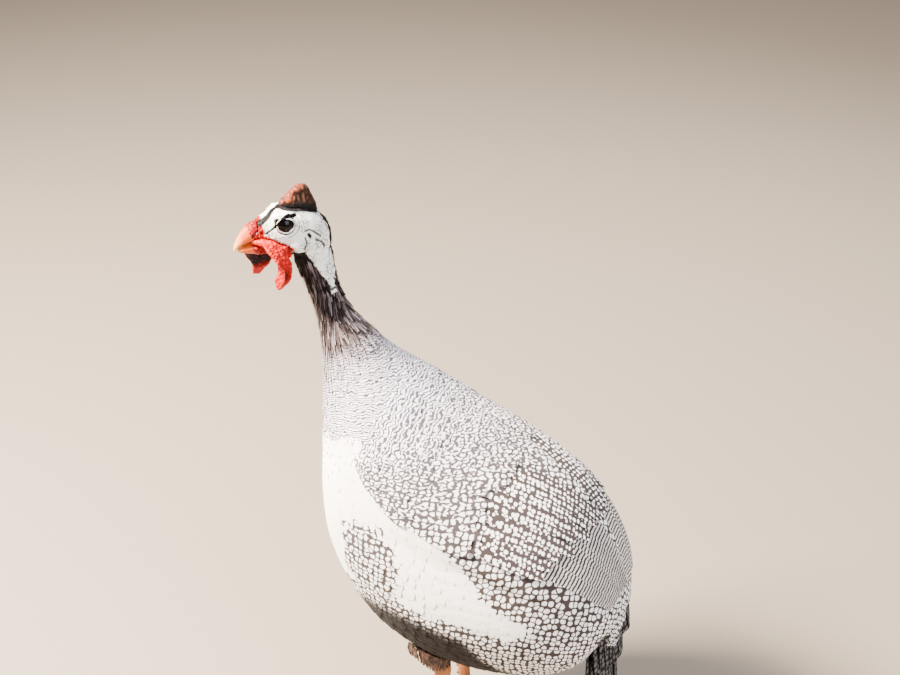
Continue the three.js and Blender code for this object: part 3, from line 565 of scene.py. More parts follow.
def flight_material(name, bar_gap):
    """Stiff flight feathers: slate brown, crossed by fine pale bars that run on from vane to vane."""
    made, shader, add, tone = new_material(name, "tone")
    lie, vane = (add("UVMap", {"uv_map": layer}) for layer in ("Lie", "Vane"))
    across, along = add("SeparateXYZ", {}, vane, out=(0, 1))
    uneven = add("TexNoise", FLAT_NOISE, Vector=vane, Scale=0.2, Detail=2.0)
    slanted = add("Math", "ADD", uneven, add("SeparateXYZ", {}, lie))
    slanted = add("Math", "MULTIPLY_ADD", across, 0.12, slanted)
    slanted = add("Math", "MULTIPLY_ADD", tone, 0.8, slanted)
    bars = add("Math", "SINE", add("Math", "MULTIPLY", slanted, 2 * math.pi / bar_gap))
    pale = add("MapRange", SOFT_STEP, add("Math", "MULTIPLY_ADD", bars, 0.5, 0.5), 0.26, 0.82)
    coat = varied(add, painted(add, "#342c2a", (pale, "#d6ccc4")), tone, 0.86)
    plug_in(shader, Base_Color=coat, Roughness=0.6, Specular_IOR_Level=0.12,
            Normal=barb_rows(add, across, along))
    return made


SPOT_ROW = 4.9  # how far the row of spots lies from a covert's shaft, in millimetres


def covert_material(name, row_gap, spot_gap):
    """Greater coverts: slate brown with a row of tall white spots along the part of each vane that shows,
    even towards the tail and scattered towards the shoulder."""
    made, shader, add, tone = new_material(name, "tone")
    lie, vane = (add("UVMap", {"uv_map": layer}) for layer in ("Lie", "Vane"))
    wobble = add("TexNoise", FLAT_NOISE, Vector=vane, Scale=0.2, Detail=1.0, out="Color")
    placed = add("VectorMath", "MULTIPLY_ADD", wobble, (1.6, 1.2, 0), vane)
    shift = add("CombineXYZ", X=0.5 - SPOT_ROW / row_gap % 1, Y=add("Math", "MULTIPLY", tone, 17.0))
    placed = add("VectorMath", "MULTIPLY_ADD", placed, (1 / row_gap, 1 / spot_gap, 0), shift)
    run = add("SeparateXYZ", {}, lie)
    scattered = add("MapRange", {}, run, -SLICE_RUN * 6.7, -SLICE_RUN * 5.4, 0.85, 0.36)
    cells = add("TexVoronoi", FLAT_CELLS, Vector=placed, Scale=1.0, Randomness=scattered)
    off_row = add("Math", "ABSOLUTE", add("Math", "SUBTRACT", add("SeparateXYZ", {}, vane), SPOT_ROW))
    off_row = add("MapRange", {}, off_row, 1.8, 2.5, 0.0, 0.12)
    pearl = add("MapRange", SOFT_STEP, add("Math", "ADD", cells, off_row), 0.44, 0.35)
    coat = varied(add, painted(add, "#3a3231", (pearl, "#f6f1ec")), tone, 0.88)
    plug_in(shader, Base_Color=coat, Roughness=0.65, Specular_IOR_Level=0.12)
    return made


barred_vanes = flight_material("barred_secondary_vanes", 2.25)
covert_vanes = covert_material("spotted_wing_covert_vanes", 4.2, 3.7)
VANES = {"primaries": barred_vanes, "secondaries": barred_vanes, "greater_coverts": covert_vanes}
# Each tier: its name, how many, root slices, tip slices, root and tip angles in degrees from its lowest to
# its highest vane, width, lift of its root and tip, and tilt of each over the next, in metres.
TIERS = [
    ("primaries", 5, (6.2, 6.2), (2.8, 2.6), (57, 51), (44, 35), 0.013, 0.0002, 0.0004, 0.0012),
    ("secondaries", 15, (7.0, 7.2), (2.7, 2.4), (57, 16), (47, 3), 0.0135, 0.0004, 0.0010, 0.0020),
    ("greater_coverts", 9, (8.0, 8.0), (5.0, 4.15), (57, 27), (57, 5), 0.0150, 0.0004, 0.0026, 0.0016),
    ("median_coverts", 12, (8.8, 8.8), (6.6, 6.3), (63, 18), (62, 15), 0.0140, 0.0004, 0.0024, 0.0010),
    ("lesser_coverts_low", 12, (9.5, 9.5), (8.0, 7.8), (66, 16), (66, 14), 0.0125, 0.0004, 0.0018, 0.0006),
    ("lesser_coverts_high", 12, (10.1, 10.1), (8.9, 8.9), (66, 17), (67, 15), 0.0120, 0.0004, 0.0014, 0.0003),
]
for hand, sign in (("left", 1), ("right", -1)):
    for tier, count, root_at, tip_at, root_angles, tip_angles, width, lift, rise, tilt in TIERS:
        share = np.linspace(0, 1, count)
        wobble = draw.normal(0, 1, (2, count))
        root_slices = np.interp(share, [0, 1], root_at)
        tip_slices = np.interp(share, [0, 1], tip_at) + 0.1 * wobble[0]
        root_round = sign * np.radians(np.interp(share, [0, 1], root_angles))
        tip_round = sign * np.radians(np.interp(share, [0, 1], tip_angles) + 0.4 * wobble[1])
        reach = (root_slices - tip_slices) * at_grid(step_along, (root_slices + tip_slices) / 2, root_round)
        feather_coat(
            tier + "_" + hand, root_slices, root_round, reach, width, lift=lift, tips_up=rise, cup=0.0003,
            thick=0.0004, narrow=0.5, rows=12, columns=6, tips=(tip_slices, tip_round),
            tilt=tilt * np.interp(share, [0, 0.4], [0.4, 1]), jitter=0.3, material=VANES.get(tier),
            white=0.0, dark=0.0,
        )
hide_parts("wing_left")
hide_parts("wing_right")

# Tail
# Fourteen stiff tail feathers hang nearly straight down behind the rump, the middle pair outermost, under
# two rows of shorter coverts. They grow from the rump's end, inside the solid tail's outline.

TAIL_ROWS = [
    # name, count, length, half width, fan in degrees, spread, arch, layer, top, rearward place, lean
    ("tail_feathers", 14, 0.098, 0.0085, 9, 0.020, 0.006, 0.0009, 0.178, 0.1130, 5),
    ("tail_coverts_low", 11, 0.058, 0.0080, 9, 0.020, 0.007, 0.0008, 0.186, 0.1170, 6),
    ("tail_coverts_high", 10, 0.040, 0.0080, 9, 0.020, 0.008, 0.0008, 0.196, 0.1210, 8),
]
t = np.linspace(0, 1, 11)[None, :, None]
c = np.linspace(-1, 1, 7)[None, None, :]
for name, count, length, half, fan, spread_out, arch, layer, high, rearward, lean in TAIL_ROWS:
    share = np.linspace(-1, 1, count)[:, None, None]
    swing, lean = np.radians(fan * share), math.radians(lean)
    across = half * c * vane_outline(t, 0.5) + 0 * share
    along = length * t * (1 + 0.02 * draw.normal(0, 1, (count, 1, 1))) + 0 * c
    sideways = spread_out * share + along * np.sin(swing) + across * np.cos(swing)
    drop = along * np.cos(swing) - across * np.sin(swing)
    inward = arch * share**2 + layer * np.abs(share + 1 / count) * count / 2 + 0.0012 * np.sign(share) * c
    back = rearward - inward + drop * math.sin(lean)
    top = np.stack([sideways + SHIFT.x, back + SHIFT.y - 0.0003 * c**2, high - drop * math.cos(lean)], -1)
    out = np.broadcast_to(np.array([0, math.cos(lean), math.sin(lean)]), top.shape)
    # The tail is darkened with painted shade.
    numbers = {"white": 0, "zone": 0.85, "dark": 0, "tone": draw.uniform(0, 1, (count, 1, 1)), "dusk": 0.9}
    spots = np.stack([across * 1000 + 40 * share, along * 1000 + 3 * share], -1) * 0.8
    root = at_grid(bake_uv, np.full(count, 0.8), 0.6 * share[:, 0, 0])
    vane_mesh(name, top, out, 0.0004, across, along, root, numbers, spots, spots)
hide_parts("tail")

# Head
# Bare skin of the face and upper neck, white and finely cracked like dry clay, with red warts at the base of
# the bill and round the gape, a black throat, and a white strip that runs down behind the ear. Made from the
# solid head and neck fused into one fine mesh, with its lids, ear and folds raised in it.

HEAD_TURN = math.radians(40)
HEAD_AXES = np.array([
    [math.sin(HEAD_TURN), -math.cos(HEAD_TURN), 0], [math.cos(HEAD_TURN), math.sin(HEAD_TURN), 0], [0, 0, 1],
])
HEAD_MIDDLE = np.array(head_middle)


def in_head(points):
    """Forward, left and up of the middle between the eyes, in millimetres."""
    return (points - HEAD_MIDDLE) @ HEAD_AXES.T * 1000


def from_head(places):
    return np.array(places, dtype=float) / 1000 @ HEAD_AXES + HEAD_MIDDLE


def fused_copy(name, nodes, voxel, smoothing, balls=(), reshape={}):
    """A fine even mesh made from copies of these solids, and of balls given as places and radii in the head's
    millimetres. reshape holds, by node, what is done to its corners first."""
    corners, faces = [], []
    turns = np.linspace(0, 2 * math.pi, 13)[:-1]
    # A ball is six rings of twelve corners, closed at its foot and its top.
    for forward, left, up, radius in balls:
        start = len(corners)
        for rise in (-0.999, -0.7, -0.25, 0.25, 0.7, 0.999):
            wide = radius * math.sqrt(1 - rise**2)
            ring = [(forward + wide * math.cos(t), left + wide * math.sin(t)) for t in turns]
            corners += [tuple(c) for c in from_head([(*place, up + radius * rise) for place in ring])]
        faces.append([start + i for i in range(11, -1, -1)])
        faces.append([start + 60 + i for i in range(12)])
        for row in range(5):
            for i in range(12):
                low, high = start + 12 * row, start + 12 * (row + 1)
                faces.append([low + i, low + (i + 1) % 12, high + (i + 1) % 12, high + i])
    for node in nodes:
        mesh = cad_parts[node].data
        start = len(corners)
        points = np.array([v.co[:] for v in mesh.vertices])
        corners += [tuple(c) for c in (reshape[node](points) if node in reshape else points)]
        faces += [[start + i for i in p.vertices] for p in mesh.polygons]
    mesh = bpy.data.meshes.new(name)
    mesh.from_pydata(corners, [], faces)
    made = bpy.data.objects.new(name, mesh)
    bpy.context.collection.objects.link(made)
    bpy.ops.object.select_all(action="DESELECT")
    made.select_set(True)
    bpy.context.view_layer.objects.active = made
    bpy.ops.object.mode_set(mode="EDIT")
    bpy.ops.mesh.select_all(action="SELECT")
    bpy.ops.mesh.remove_doubles(threshold=0.00002)
    bpy.ops.mesh.normals_make_consistent(inside=False)
    bpy.ops.object.mode_set(mode="OBJECT")
    mesh.remesh_voxel_size = voxel
    bpy.ops.object.voxel_remesh()
    smooth = made.modifiers.new("smooth", "SMOOTH")
    smooth.iterations = smoothing
    smooth.factor = 0.5
    bpy.ops.object.modifier_apply(modifier="smooth")
    bpy.ops.object.shade_smooth()
    return made


def points_of(thing):
    values = np.zeros(len(thing.data.vertices) * 3, dtype=np.float32)
    thing.data.vertices.foreach_get("co", values)
    return values.reshape(-1, 3).astype(float)


def point_normals(thing):
    values = np.zeros(len(thing.data.vertices) * 3, dtype=np.float32)
    thing.data.vertex_normals.foreach_get("vector", values)
    return values.reshape(-1, 3).astype(float)


def move_points(thing, points):
    thing.data.vertices.foreach_set("co", points.astype(np.float32).ravel())
    thing.data.update()


def swell(thing, rise):
    """Moves the points of a mesh outwards, all alike or each by its own rise, in millimetres."""
    move_points(thing, points_of(thing) + point_normals(thing) * (np.reshape(rise, (-1, 1)) / 1000))


def mark(thing, **marks):
    """Writes numbers on the points of a mesh, held from 0 to 1, for its material to read."""
    for name, values in marks.items():
        written = thing.data.attributes.new(name, "FLOAT", "POINT")
        written.data.foreach_set("value", np.clip(values, 0, 1).astype(np.float32))


def noise_at(points, size, seed=0.0):
    """Soft noise from -1 to 1 with features of this size, in millimetres."""
    return np.array([noise.noise(Vector(p) / size + Vector((seed, seed, seed))) for p in points])


def cells_at(points, size):
    """Rounded bumps packed at this spacing: 1 on top of each and 0 between them."""
    near = np.array([noise.voronoi(Vector(p) / size)[0][:2] for p in points])
    return np.clip((near[:, 1] - near[:, 0]) * 1.6, 0, 1)


def near_line(places, line, width):
    """1 on a line drawn in millimetres, falling to 0 at this distance from it."""
    best = np.full(len(places), 1e9)
    for a, b in zip(line[:-1], line[1:]):
        a, b = np.array(a, dtype=float), np.array(b, dtype=float)
        share = np.clip(((places - a) @ (b - a)) / ((b - a) @ (b - a)), 0, 1)
        best = np.minimum(best, np.linalg.norm(places - a - share[:, None] * (b - a), axis=1))
    return np.clip(1 - best / width, 0, 1)


# The skull's ovals as [forward, top, bottom, half width].
SKULL = np.array([
    [-32.6, -9, -20, 4], [-30.4, -3, -27, 9], [-25, 5, -30.5, 12.6], [-18.5, 10, -30.5, 14.4],
    [-10, 13.2, -28, 15.2], [-2, 13.4, -25.5, 15], [5, 12, -24, 13.6], [11, 9.6, -23.2, 11.8],
    [16, 6.4, -22.8, 10.2], [19.5, 4.2, -22.4, 8.8],
])

LID_REACH = 8.6  # of the lids from the middle of the eye, in millimetres


def bald_head(points):
    """Draws the solid locks of the nape in, since finer ones take their place, and lowers the ridge over each
    eye."""
    place = in_head(points)
    forward = np.clip(place[:, 0], -32.6, 19.5)
    top, bottom, half = (np.interp(forward, SKULL[:, 0], SKULL[:, i]) for i in (1, 2, 3))
    middle = (top + bottom) / 2
    out = np.hypot(place[:, 1] / half, (place[:, 2] - middle) / ((top - bottom) / 2))
    on_nape = (place[:, 0] < -15) & (np.abs(place[:, 1]) < 8.5) & (place[:, 2] > -25) & (out > 1.04)
    on_nape |= place[:, 0] < -33
    lids = np.hypot(place[:, 0] - EYE_AHEAD, place[:, 2] - EYE_UP) < LID_REACH
    on_ridge = (np.abs(place[:, 0] - 2.4) < 10) & (place[:, 2] > 6) & (np.abs(place[:, 1]) > 5) & (out > 1.12)
    shrink = np.where(on_nape, 0.95 / out, np.where(on_ridge & ~lids, 1.12 / out, 1))
    place[on_nape, 0] = forward[on_nape] + 0.4
    place[:, 1] *= shrink
    place[:, 2] = middle + (place[:, 2] - middle) * shrink
    return from_head(place)


def bald_neck(points):
    """Draws the solid locks of the neck in, in the same way."""
    facing = np.cross(ring_up, [1, 0, 0])
    facing /= np.linalg.norm(facing, axis=1, keepdims=True)
    away = np.einsum("prk,rk->pr", points[:, None] - ring_centre[None], facing)
    r = np.abs(away).argmin(1)
    rise = ((points - ring_centre[r]) * ring_up[r]).sum(1) / (ring_up[r] ** 2).sum(1)
    aside = (points[:, 0] - ring_centre[r, 0]) / ring_half[r]
    out = np.hypot(rise, aside)
    shrink = np.where((out > 1.06) & (r < RINGS - 4), 0.94 / np.maximum(out, 1e-6), 1)[:, None]
    return ring_centre[r] + (points - ring_centre[r]) * shrink


head_skin = fused_copy(
    "head_skin", ["head", "neck"], 0.00065, 3, reshape={"head": bald_head, "neck": bald_neck}
)
NECK_CUT = 0.394  # where the bare skin ends inside the hackles, in metres
bpy.ops.object.mode_set(mode="EDIT")
bpy.ops.mesh.select_all(action="SELECT")
bpy.ops.mesh.bisect(plane_co=(0, 0, NECK_CUT), plane_no=(0, 0, 1), clear_inner=True, use_fill=True)
bpy.ops.mesh.select_all(action="DESELECT")
bpy.ops.object.mode_set(mode="OBJECT")
# The mesh is made finer round the eyes, for the brow and the edges of the lids.
place = in_head(points_of(head_skin))
by_the_eyes = (np.hypot(place[:, 0] - 3, place[:, 2] - EYE_UP) < 13) & (np.abs(place[:, 1]) > 6)
head_skin.data.vertices.foreach_set("select", by_the_eyes)
bpy.ops.object.mode_set(mode="EDIT")
bpy.ops.mesh.subdivide(number_cuts=1)
bpy.ops.object.mode_set(mode="OBJECT")
place = in_head(points_of(head_skin))
ahead, side, above = place[:, 0], np.abs(place[:, 1]), place[:, 2]
from_side = np.stack([ahead, above], -1)
grain = noise_at(place, 9.0)
fine = noise_at(place, 2.2, 5.0)

# White skin: the face above the jaw, and the strip behind the ear with a dark gap near its lower end.
strip_front = np.interp(above, [-54, -51, -45.5, -40, -36, -26.6, -20],
                        [-27.5, -28.3, -25.5, -22.4, -18.8, -15.4, -13])
strip_back = np.interp(above, [-54, -46, -36, -18, -10], [-33, -33.5, -34, -36, -40])
strip = np.minimum(strip_front - ahead, ahead - strip_back) + 2.2 * grain + 1.2 * fine
strip = np.clip(strip / 1.6 + 0.5, 0, 1) * (above < -16) * (above > -54 + 1.5 * fine)
strip *= 1 - np.clip(1 - np.abs(above + 51.2) / 1.2, 0, 1)
jaw = np.interp(ahead, [-38, -22, -16, -8, -2, 4, 22], [-19, -19, -19.5, -21, -19, -21, -21])
white_face = np.clip((above - jaw + 1.2 * grain) / 1.2 + 0.5, 0, 1)
nape = np.interp(ahead, [-40, -34, -28, -22], [1.0, 1.0, 0.0, 0.0]) * np.clip((7.5 - side) / 3, 0, 1)
white_skin = np.maximum(white_face, strip) * (1 - nape)

# Red skin: the cere, a band along the gape, and the chin under the bill.
warts = cells_at(place, 2.4)
gape_band = near_line(from_side, [(20, -8), (14, -11), (8.5, -14), (1.5, -18)], 6.2)
cere = np.clip((ahead - 15.2 - 0.9 * grain) / 1.6, 0, 1)
under_bill = np.clip((ahead - 5) / 4, 0, 1) * np.clip((-13 - above) / 3, 0, 1)
red_skin = np.clip(np.maximum(np.maximum(cere, under_bill), gape_band * 3.4), 0, 1)

# The marks round the eye are placed as they look from above and ahead of it, since the lids stand out there.
seen = np.stack([ahead - 0.264 * (side - 14), above - 0.5 * (side - 14)], -1)
brow = near_line(seen, [(15.5, -1.2), (11.7, 0.9), (7.4, 3.9), (3.8, 7.4), (0, 9.6), (-5.5, 9.8)], 2.8)
brow_edge = np.interp(seen[:, 0], [-8, -5, -1, 3, 7, 12], [0.55, 0.3, 0.22, 0.4, 0.46, 0.62])
brow = np.clip((brow - brow_edge) * 6, 0, 1) * (side > 6)
middle_line = near_line(place[:, :2], [(19.5, 4.2), (15.5, 5), (11.8, 4.8), (8, 2), (4, 0), (0, 0)], 3.0)
middle_line = np.clip((middle_line - 0.22) * 6, 0, 1) * (above > 0)
eye_distance = np.hypot(ahead - EYE_AHEAD, (above - EYE_UP) * 1.2)
lid_distance = np.hypot(seen[:, 0] - EYE_AHEAD, seen[:, 1] - EYE_UP)
lid_line = np.clip(1 - np.abs(lid_distance - 6.9) / 0.55, 0, 1) * (side > 9)
lid_line *= np.clip((EYE_UP - seen[:, 1]) / 2, 0, 1)
lid_fold = 0.5 * np.clip(1 - np.abs(lid_distance - 9.6) / 0.5, 0, 1) * (side > 9) * (seen[:, 0] < 0)
EAR_LINES = [
    ([(-19.4, -11.5), (-23.8, -14.6), (-26, -19)], 1.1),
    ([(-11.6, -8.5), (-12.6, -13), (-10.5, -17)], 1.1),
    ([(-11.8, -3.6), (-15.5, -3.2), (-19.5, -6), (-23.5, -10)], 1.0),
]
ear_line = np.max([near_line(from_side, line, width) for line, width in EAR_LINES], axis=0) * (side > 8)
ear_hole = near_line(from_side, [(-14.4, -6.6), (-15.8, -9.2)], 1.7) * (side > 11)
# The lid lines, the folds by the ear and the ear opening are sunk, and painted near black as shade.
crease = np.clip(np.maximum(lid_line, lid_fold) * 2.2 + ear_line * 1.3 + ear_hole * 2.2, 0, 1)
crown = np.interp(ahead, [-24, -20, -14.4, -4.1, 1.1, 5], [4.4, 5.8, 7.8, 10.4, 10.4, 11.8])
crown = np.clip((above - crown + 0.7 * grain) / 0.8, 0, 1) * (ahead < 5)
black_skin = 1 - np.maximum(white_skin, red_skin)
for patch in (crown, brow, middle_line):
    black_skin = np.maximum(black_skin, patch)

# The bare skin lies under the level of the solid, as the bristles and hackles stand on it.
sunk = np.interp(above, [-66, -56, -46, -28, -20], [3.6, 2.0, 1.7, 1.5, 0.3])
sunk = sunk * (1 - strip) + 0.2 * strip
rise = 0.75 * warts * red_skin + 0.5 * strip * warts + 0.12 * fine * white_face - 0.45 * crease - 0.25 * brow
rise += 0.25 * np.clip(1 - np.abs(eye_distance - 9.8) / 0.9, 0, 1) * (side > 11)
swell(head_skin, rise - sunk)
mark(head_skin, red=red_skin, black=black_skin, crease=crease, warts=warts, wrinkled=(-7 - ahead) / 6)

# Bare living skin: chalk white with hair-fine grey cracks, 2.5 mm apart, where it wrinkles, blotches of 9 mm
# and a low soft gloss.
bare_skin, shader, add, red, black, crease, warts, wrinkled = new_material(
    "bare_white_and_scarlet_skin", "red", "black", "crease", "warts", "wrinkled"
)
on_skin = add("TexCoord", out="Object")
pushed = add("TexNoise", Vector=on_skin, Scale=220.0, Detail=1.0, out="Color")
pushed = add("VectorMath", "MULTIPLY_ADD", pushed, (0.003, 0.003, 0.003), on_skin)
cracks = add("TexVoronoi", {"feature": "DISTANCE_TO_EDGE"}, Vector=pushed, Scale=400.0, Randomness=1.0)
cracks = add("MapRange", {}, cracks, 0.0, 0.13, 1.0, 0.0)
patchy = add("TexNoise", Vector=on_skin, Scale=110.0, Detail=3.0)
cracked = add("Math", "MULTIPLY_ADD", wrinkled, 0.14, patchy)
cracked = add("ValToRGB", {"stops": [(0.52, 0.0), (0.66, 1.0)]}, cracked)
cracks = add("Math", "MULTIPLY", cracks, cracked)
chalk = painted(add, "#fffdf4", (patchy, "#e2dfd0"), (add("Math", "MULTIPLY", cracks, 0.95), "#2a2723"))
scarlet = painted(add, "#5a0100", (warts, "#b00502"))
# Painted shade, near black, fills the lid lines, the ear folds and the ear opening.
coat = painted(add, chalk, (red, scarlet), (black, "#0c0a0b"), (crease, "#0a0706"))
height = add("Math", "MULTIPLY_ADD", cracks, -0.5, patchy)
plug_in(shader, Base_Color=coat, Roughness=add("Math", "MULTIPLY_ADD", red, -0.22, 0.62),
        Specular_IOR_Level=0.05, Subsurface_Weight=0.08, Subsurface_Radius=(0.004, 0.0015, 0.0008),
        Subsurface_Scale=0.5, Normal=add("Bump", Strength=0.5, Distance=0.0005, Height=height))
head_skin.data.materials.append(bare_skin)
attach(head_skin, "root")
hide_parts("head")

# Bristles of the head
# Short black bristly feathers: a fringe round the base of the casque, a mane down the nape, and the black
# down of the throat. Thin pointed locks that lie along the skin they are rooted in.

head_surface = surface_of(head_skin.data)
LOCK_ROWS = 5


def bristle_locks(name, roots, lie, length, width, rise, material):
    """Thin pointed locks along the skin of the head. roots and lie are in the head's millimetres. Length,
    width and the rise of the tips are in metres, one to each lock."""
    count = len(roots)
    t = np.linspace(0, 1, LOCK_ROWS + 1)
    middle = np.zeros((count, LOCK_ROWS + 1, 3))
    outward = np.zeros((count, LOCK_ROWS + 1, 3))
    starts, ways = from_head(roots), lie @ HEAD_AXES
    for i in range(count):
        point = Vector(starts[i])
        way = Vector(ways[i]).normalized()
        for k in range(LOCK_ROWS + 1):
            spot, normal, _, _ = head_surface.find_nearest(point)
            middle[i, k] = spot
            outward[i, k] = normal
            way = (way - normal * way.dot(normal)).normalized()
            point = spot + way * (length[i] / LOCK_ROWS)
    outward = np.stack([smoothed(o, 2) for o in outward])
    outward /= np.linalg.norm(outward, axis=2, keepdims=True)
    middle = np.stack([smoothed(m, 1) for m in middle])
    tangent = np.gradient(middle, axis=1)
    across_way = np.cross(tangent, outward)
    across_way /= np.maximum(np.linalg.norm(across_way, axis=2, keepdims=True), 1e-9)
    middle = middle + outward * (0.0001 + rise[:, None] * t**1.5)[..., None]
    across = (width[:, None] / 2 * hackle_outline(t, 0.7))[..., None] * np.linspace(-1, 1, 3)
    top = middle[:, :, None] + across_way[:, :, None] * across[..., None]
    along = (length[:, None] * t)[..., None] + 0 * across
    out = np.broadcast_to(outward[:, :, None], top.shape)
    lon = np.arctan2(roots[:, 1], roots[:, 0] + 12) / (2 * math.pi) + 0.5
    root = np.stack([0.83 + 0.15 * lon, 0.04 + 0.9 * (np.clip(roots[:, 2], -60, 30) + 60) / 90], 1)
    spots = np.stack([across * 1000 + 3 * lon[:, None, None], along * 1000], -1)
    tone = {"tone": draw.uniform(0, 1, (count, 1, 1))}
    vane_mesh(name, top, out, 0.00035, across, along, root, tone, spots, spots, material)


# Black bristles have narrow barbs with a soft gloss, and look a little brown where light gets through.
black_bristles, shader, add, tone = new_material("black_bristle_feathers", "tone")
coat = add("ValToRGB", {"stops": [(0.0, "#050404"), (0.7, "#110e0f"), (1.0, "#2a2224")]}, tone)
plug_in(shader, Base_Color=coat, Roughness=0.6, Specular_IOR_Level=0.08)

# Root, lie, length, width and rise of each bristle, first round the casque, then on the nape and the throat.
bristles = []
FRINGE, MANE_LOCKS, THROAT_TRIES = 260, 420, 620
for i in range(FRINGE):
    turn = 2 * math.pi * (i + draw.uniform(-0.3, 0.3)) / FRINGE
    ring = draw.uniform(0.86, 1.0)
    root = (-9.5 + 14.5 * ring * math.cos(turn), 8.4 * ring * math.sin(turn), 13 - 2.5 * math.cos(turn))
    lie = (-0.9 + 0.25 * math.cos(turn), 0.55 * math.sin(turn), -0.25)
    bristles.append((root, lie, draw.uniform(0.003, 0.005), 0.001, draw.uniform(0.0004, 0.0012)))
MANE_DOWN, MANE = [0, 0.25, 0.55, 1], ((-27, -34, -37, -38), (0, 0, 0, 0), (6, -3, -18, -50))
for i in range(MANE_LOCKS):
    down = draw.uniform(0, 1)
    aside = draw.normal(0, 0.55)
    root = np.array([np.interp(down, MANE_DOWN, column) for column in MANE]) + np.array([0, 6.5 * aside, 0])
    lie = (-0.75 + 0.7 * down, 0.12 * aside, -0.5 - 0.5 * down)
    bristles.append((root, lie, draw.uniform(0.006, 0.011), 0.001, draw.uniform(0.0004, 0.0016)))
for i in range(THROAT_TRIES):
    root = (draw.uniform(-24, 6), draw.uniform(-14, 14), draw.uniform(-40, -21))
    edge = np.interp(root[0], [-24, -16, -8, -2, 6], [-27, -21.5, -23, -21.5, -24])
    behind = np.interp(root[2], [-54, -46, -40, -36, -27, -20], [-24, -23.5, -21, -17, -13, -11])
    if root[2] < edge and root[0] > behind:
        lie = (-0.35, 0.02 * root[1], -0.9)
        bristles.append((root, lie, draw.uniform(0.005, 0.009), 0.001, draw.uniform(0.0004, 0.0014)))
bristle_locks("black_bristles", *(np.array(column) for column in zip(*bristles)), black_bristles)

# Casque
# The horny helmet on the crown: bone under thin keratin, orange and smooth along its front ridge, brown and
# wrinkled behind, made dark brown there with painted shade. Fused to the skull.

casque = fused_copy("casque_horn", ["casque"], 0.0005, 4)
place = in_head(points_of(casque))
ahead, above = place[:, 0], place[:, 2]
front_edge = np.interp(above, [5, 15, 25.6], [5, 0.2, -11.4])
front = np.clip(1 - (front_edge - ahead) / 6.5 + 0.25 * noise_at(place, 5), 0, 1)
ridges = cells_at(place * np.array([1, 1, 0.45]), 3.0)
hollow = np.clip(1 - np.hypot((ahead + 12.5) / 4.5, (above - 18) / 5), 0, 1)
swell(casque, 0.5 * ridges * (1 - front) + 0.3 * noise_at(place, 3, 9) - 1.3 * hollow)
base = (np.interp(ahead, [-22, -10, 0, 6], [12, 15, 15.5, 13.0]) + 1.2 * noise_at(place, 3) - above) / 1.5
mark(casque, front=front, ridges=ridges, base=base)
# Horn: dull, with orange flecks of 2.5 mm in front, and wrinkled behind, where painted shade makes it dark
# brown.
horn, shader, add, front, ridges, base = new_material("orange_horn_with_shaded_brown_back", "front", "ridges", "base")
worn = add("TexNoise", Vector=add("TexCoord", out="Object"), Scale=400.0, Detail=4.0)
# The brown behind is dark with painted shade.
brown = add("ValToRGB", {"stops": [(0.0, "#1a0f09"), (0.5, "#442a1b"), (1.0, "#6a4833")]}, ridges)
orange = add("ValToRGB", {"stops": [(0.36, "#120502"), (0.5, "#5c1c08"), (0.66, "#a2441a")]}, worn)
plug_in(shader, Base_Color=painted(add, brown, (front, orange), (base, "#0e0a08")), Roughness=0.55,
        Specular_IOR_Level=0.1, Normal=add("Bump", Strength=0.4, Distance=0.0004, Height=worn))
casque.data.materials.append(horn)
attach(casque, "root")
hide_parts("casque")

# Bill
# Two horny sheaths over the jaws, orange-pink with a pale tip, and red warty skin over the base and nostrils.
# Hard keratin, smooth and a little glossy, grown round the bone.

# Bill horn is denser and a little glossy, with streaks of 4 mm, and light enters it and warms its tip.
bill_horn, shader, add, red, warts, crease, tip = new_material(
    "orange_pink_bill_horn", "red", "warts", "crease", "tip"
)
streaks = add("TexNoise", Vector=add("TexCoord", out="Object"), Scale=260.0, Detail=3.0)
warty = painted(add, "#5c0100", (warts, "#b40803"))
# The nostril gets painted shade, dark red-brown.
coat = painted(add, "#b03206", (streaks, "#d4561a"), (tip, "#d88a44"), (red, warty), (crease, "#4a0f0b"))
plug_in(shader, Base_Color=coat, Roughness=0.42, Specular_IOR_Level=0.18, Subsurface_Weight=0.1,
        Subsurface_Scale=0.4)
for part in ("upper_bill", "lower_bill"):
    upper = part == "upper_bill"
    sheath = fused_copy(part + "_horn", [part], 0.0004, 3)
    place = in_head(points_of(sheath))
    # Beside its cutting edge each sheath is squared out nearly to its full width.
    ahead = place[:, 0]
    cutting_edge = np.interp(ahead, [19, 24, 28, 32, 36, 37], [-11.4, -11.9, -12.8, -14.3, -16.8, -17.6])
    wide = np.interp(ahead, [19, 23.5, 27, 30.5, 33.8, 36.2, 37], [7.6, 7.0, 6.1, 5.0, 3.6, 2.0, 0.8])
    wide *= 1.0 if upper else 0.9
    beside = np.clip(1 - np.abs(place[:, 2] - cutting_edge) / 2.6, 0, 1)
    full = np.abs(place[:, 1]) / wide
    squared = beside * np.clip((full - 0.3) / 0.3, 0, 1) * np.maximum(0.95 - full, 0)
    place[:, 1] += np.sign(place[:, 1]) * squared * wide
    move_points(sheath, from_head(place))
    above = place[:, 2]
    edge, nostril = np.interp(above, [-24, -12], [24, 25]), np.zeros(len(place))
    if upper:
        edge = np.interp(above, [-14, -8, -4, 0, 4], [22.5, 23.5, 26, 28, 29])
        nostril = near_line(place[:, [0, 2]], [(24, -6.4), (22.4, -4.6), (19.8, -2), (17.6, -0.6)], 1.2)
    red = np.clip((edge - ahead + 1.2 * noise_at(place, 3)) / 1.4, 0, 1)
    warts = cells_at(place, 2.3)
    swell(sheath, 0.55 * warts * red - 0.6 * nostril)
    # The nostril is marked for painted shade.
    mark(sheath, red=red, warts=warts, crease=nostril * 1.4, tip=(ahead - 30) / 5)
    sheath.data.materials.append(bill_horn)
    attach(sheath, "root")
    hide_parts(part)
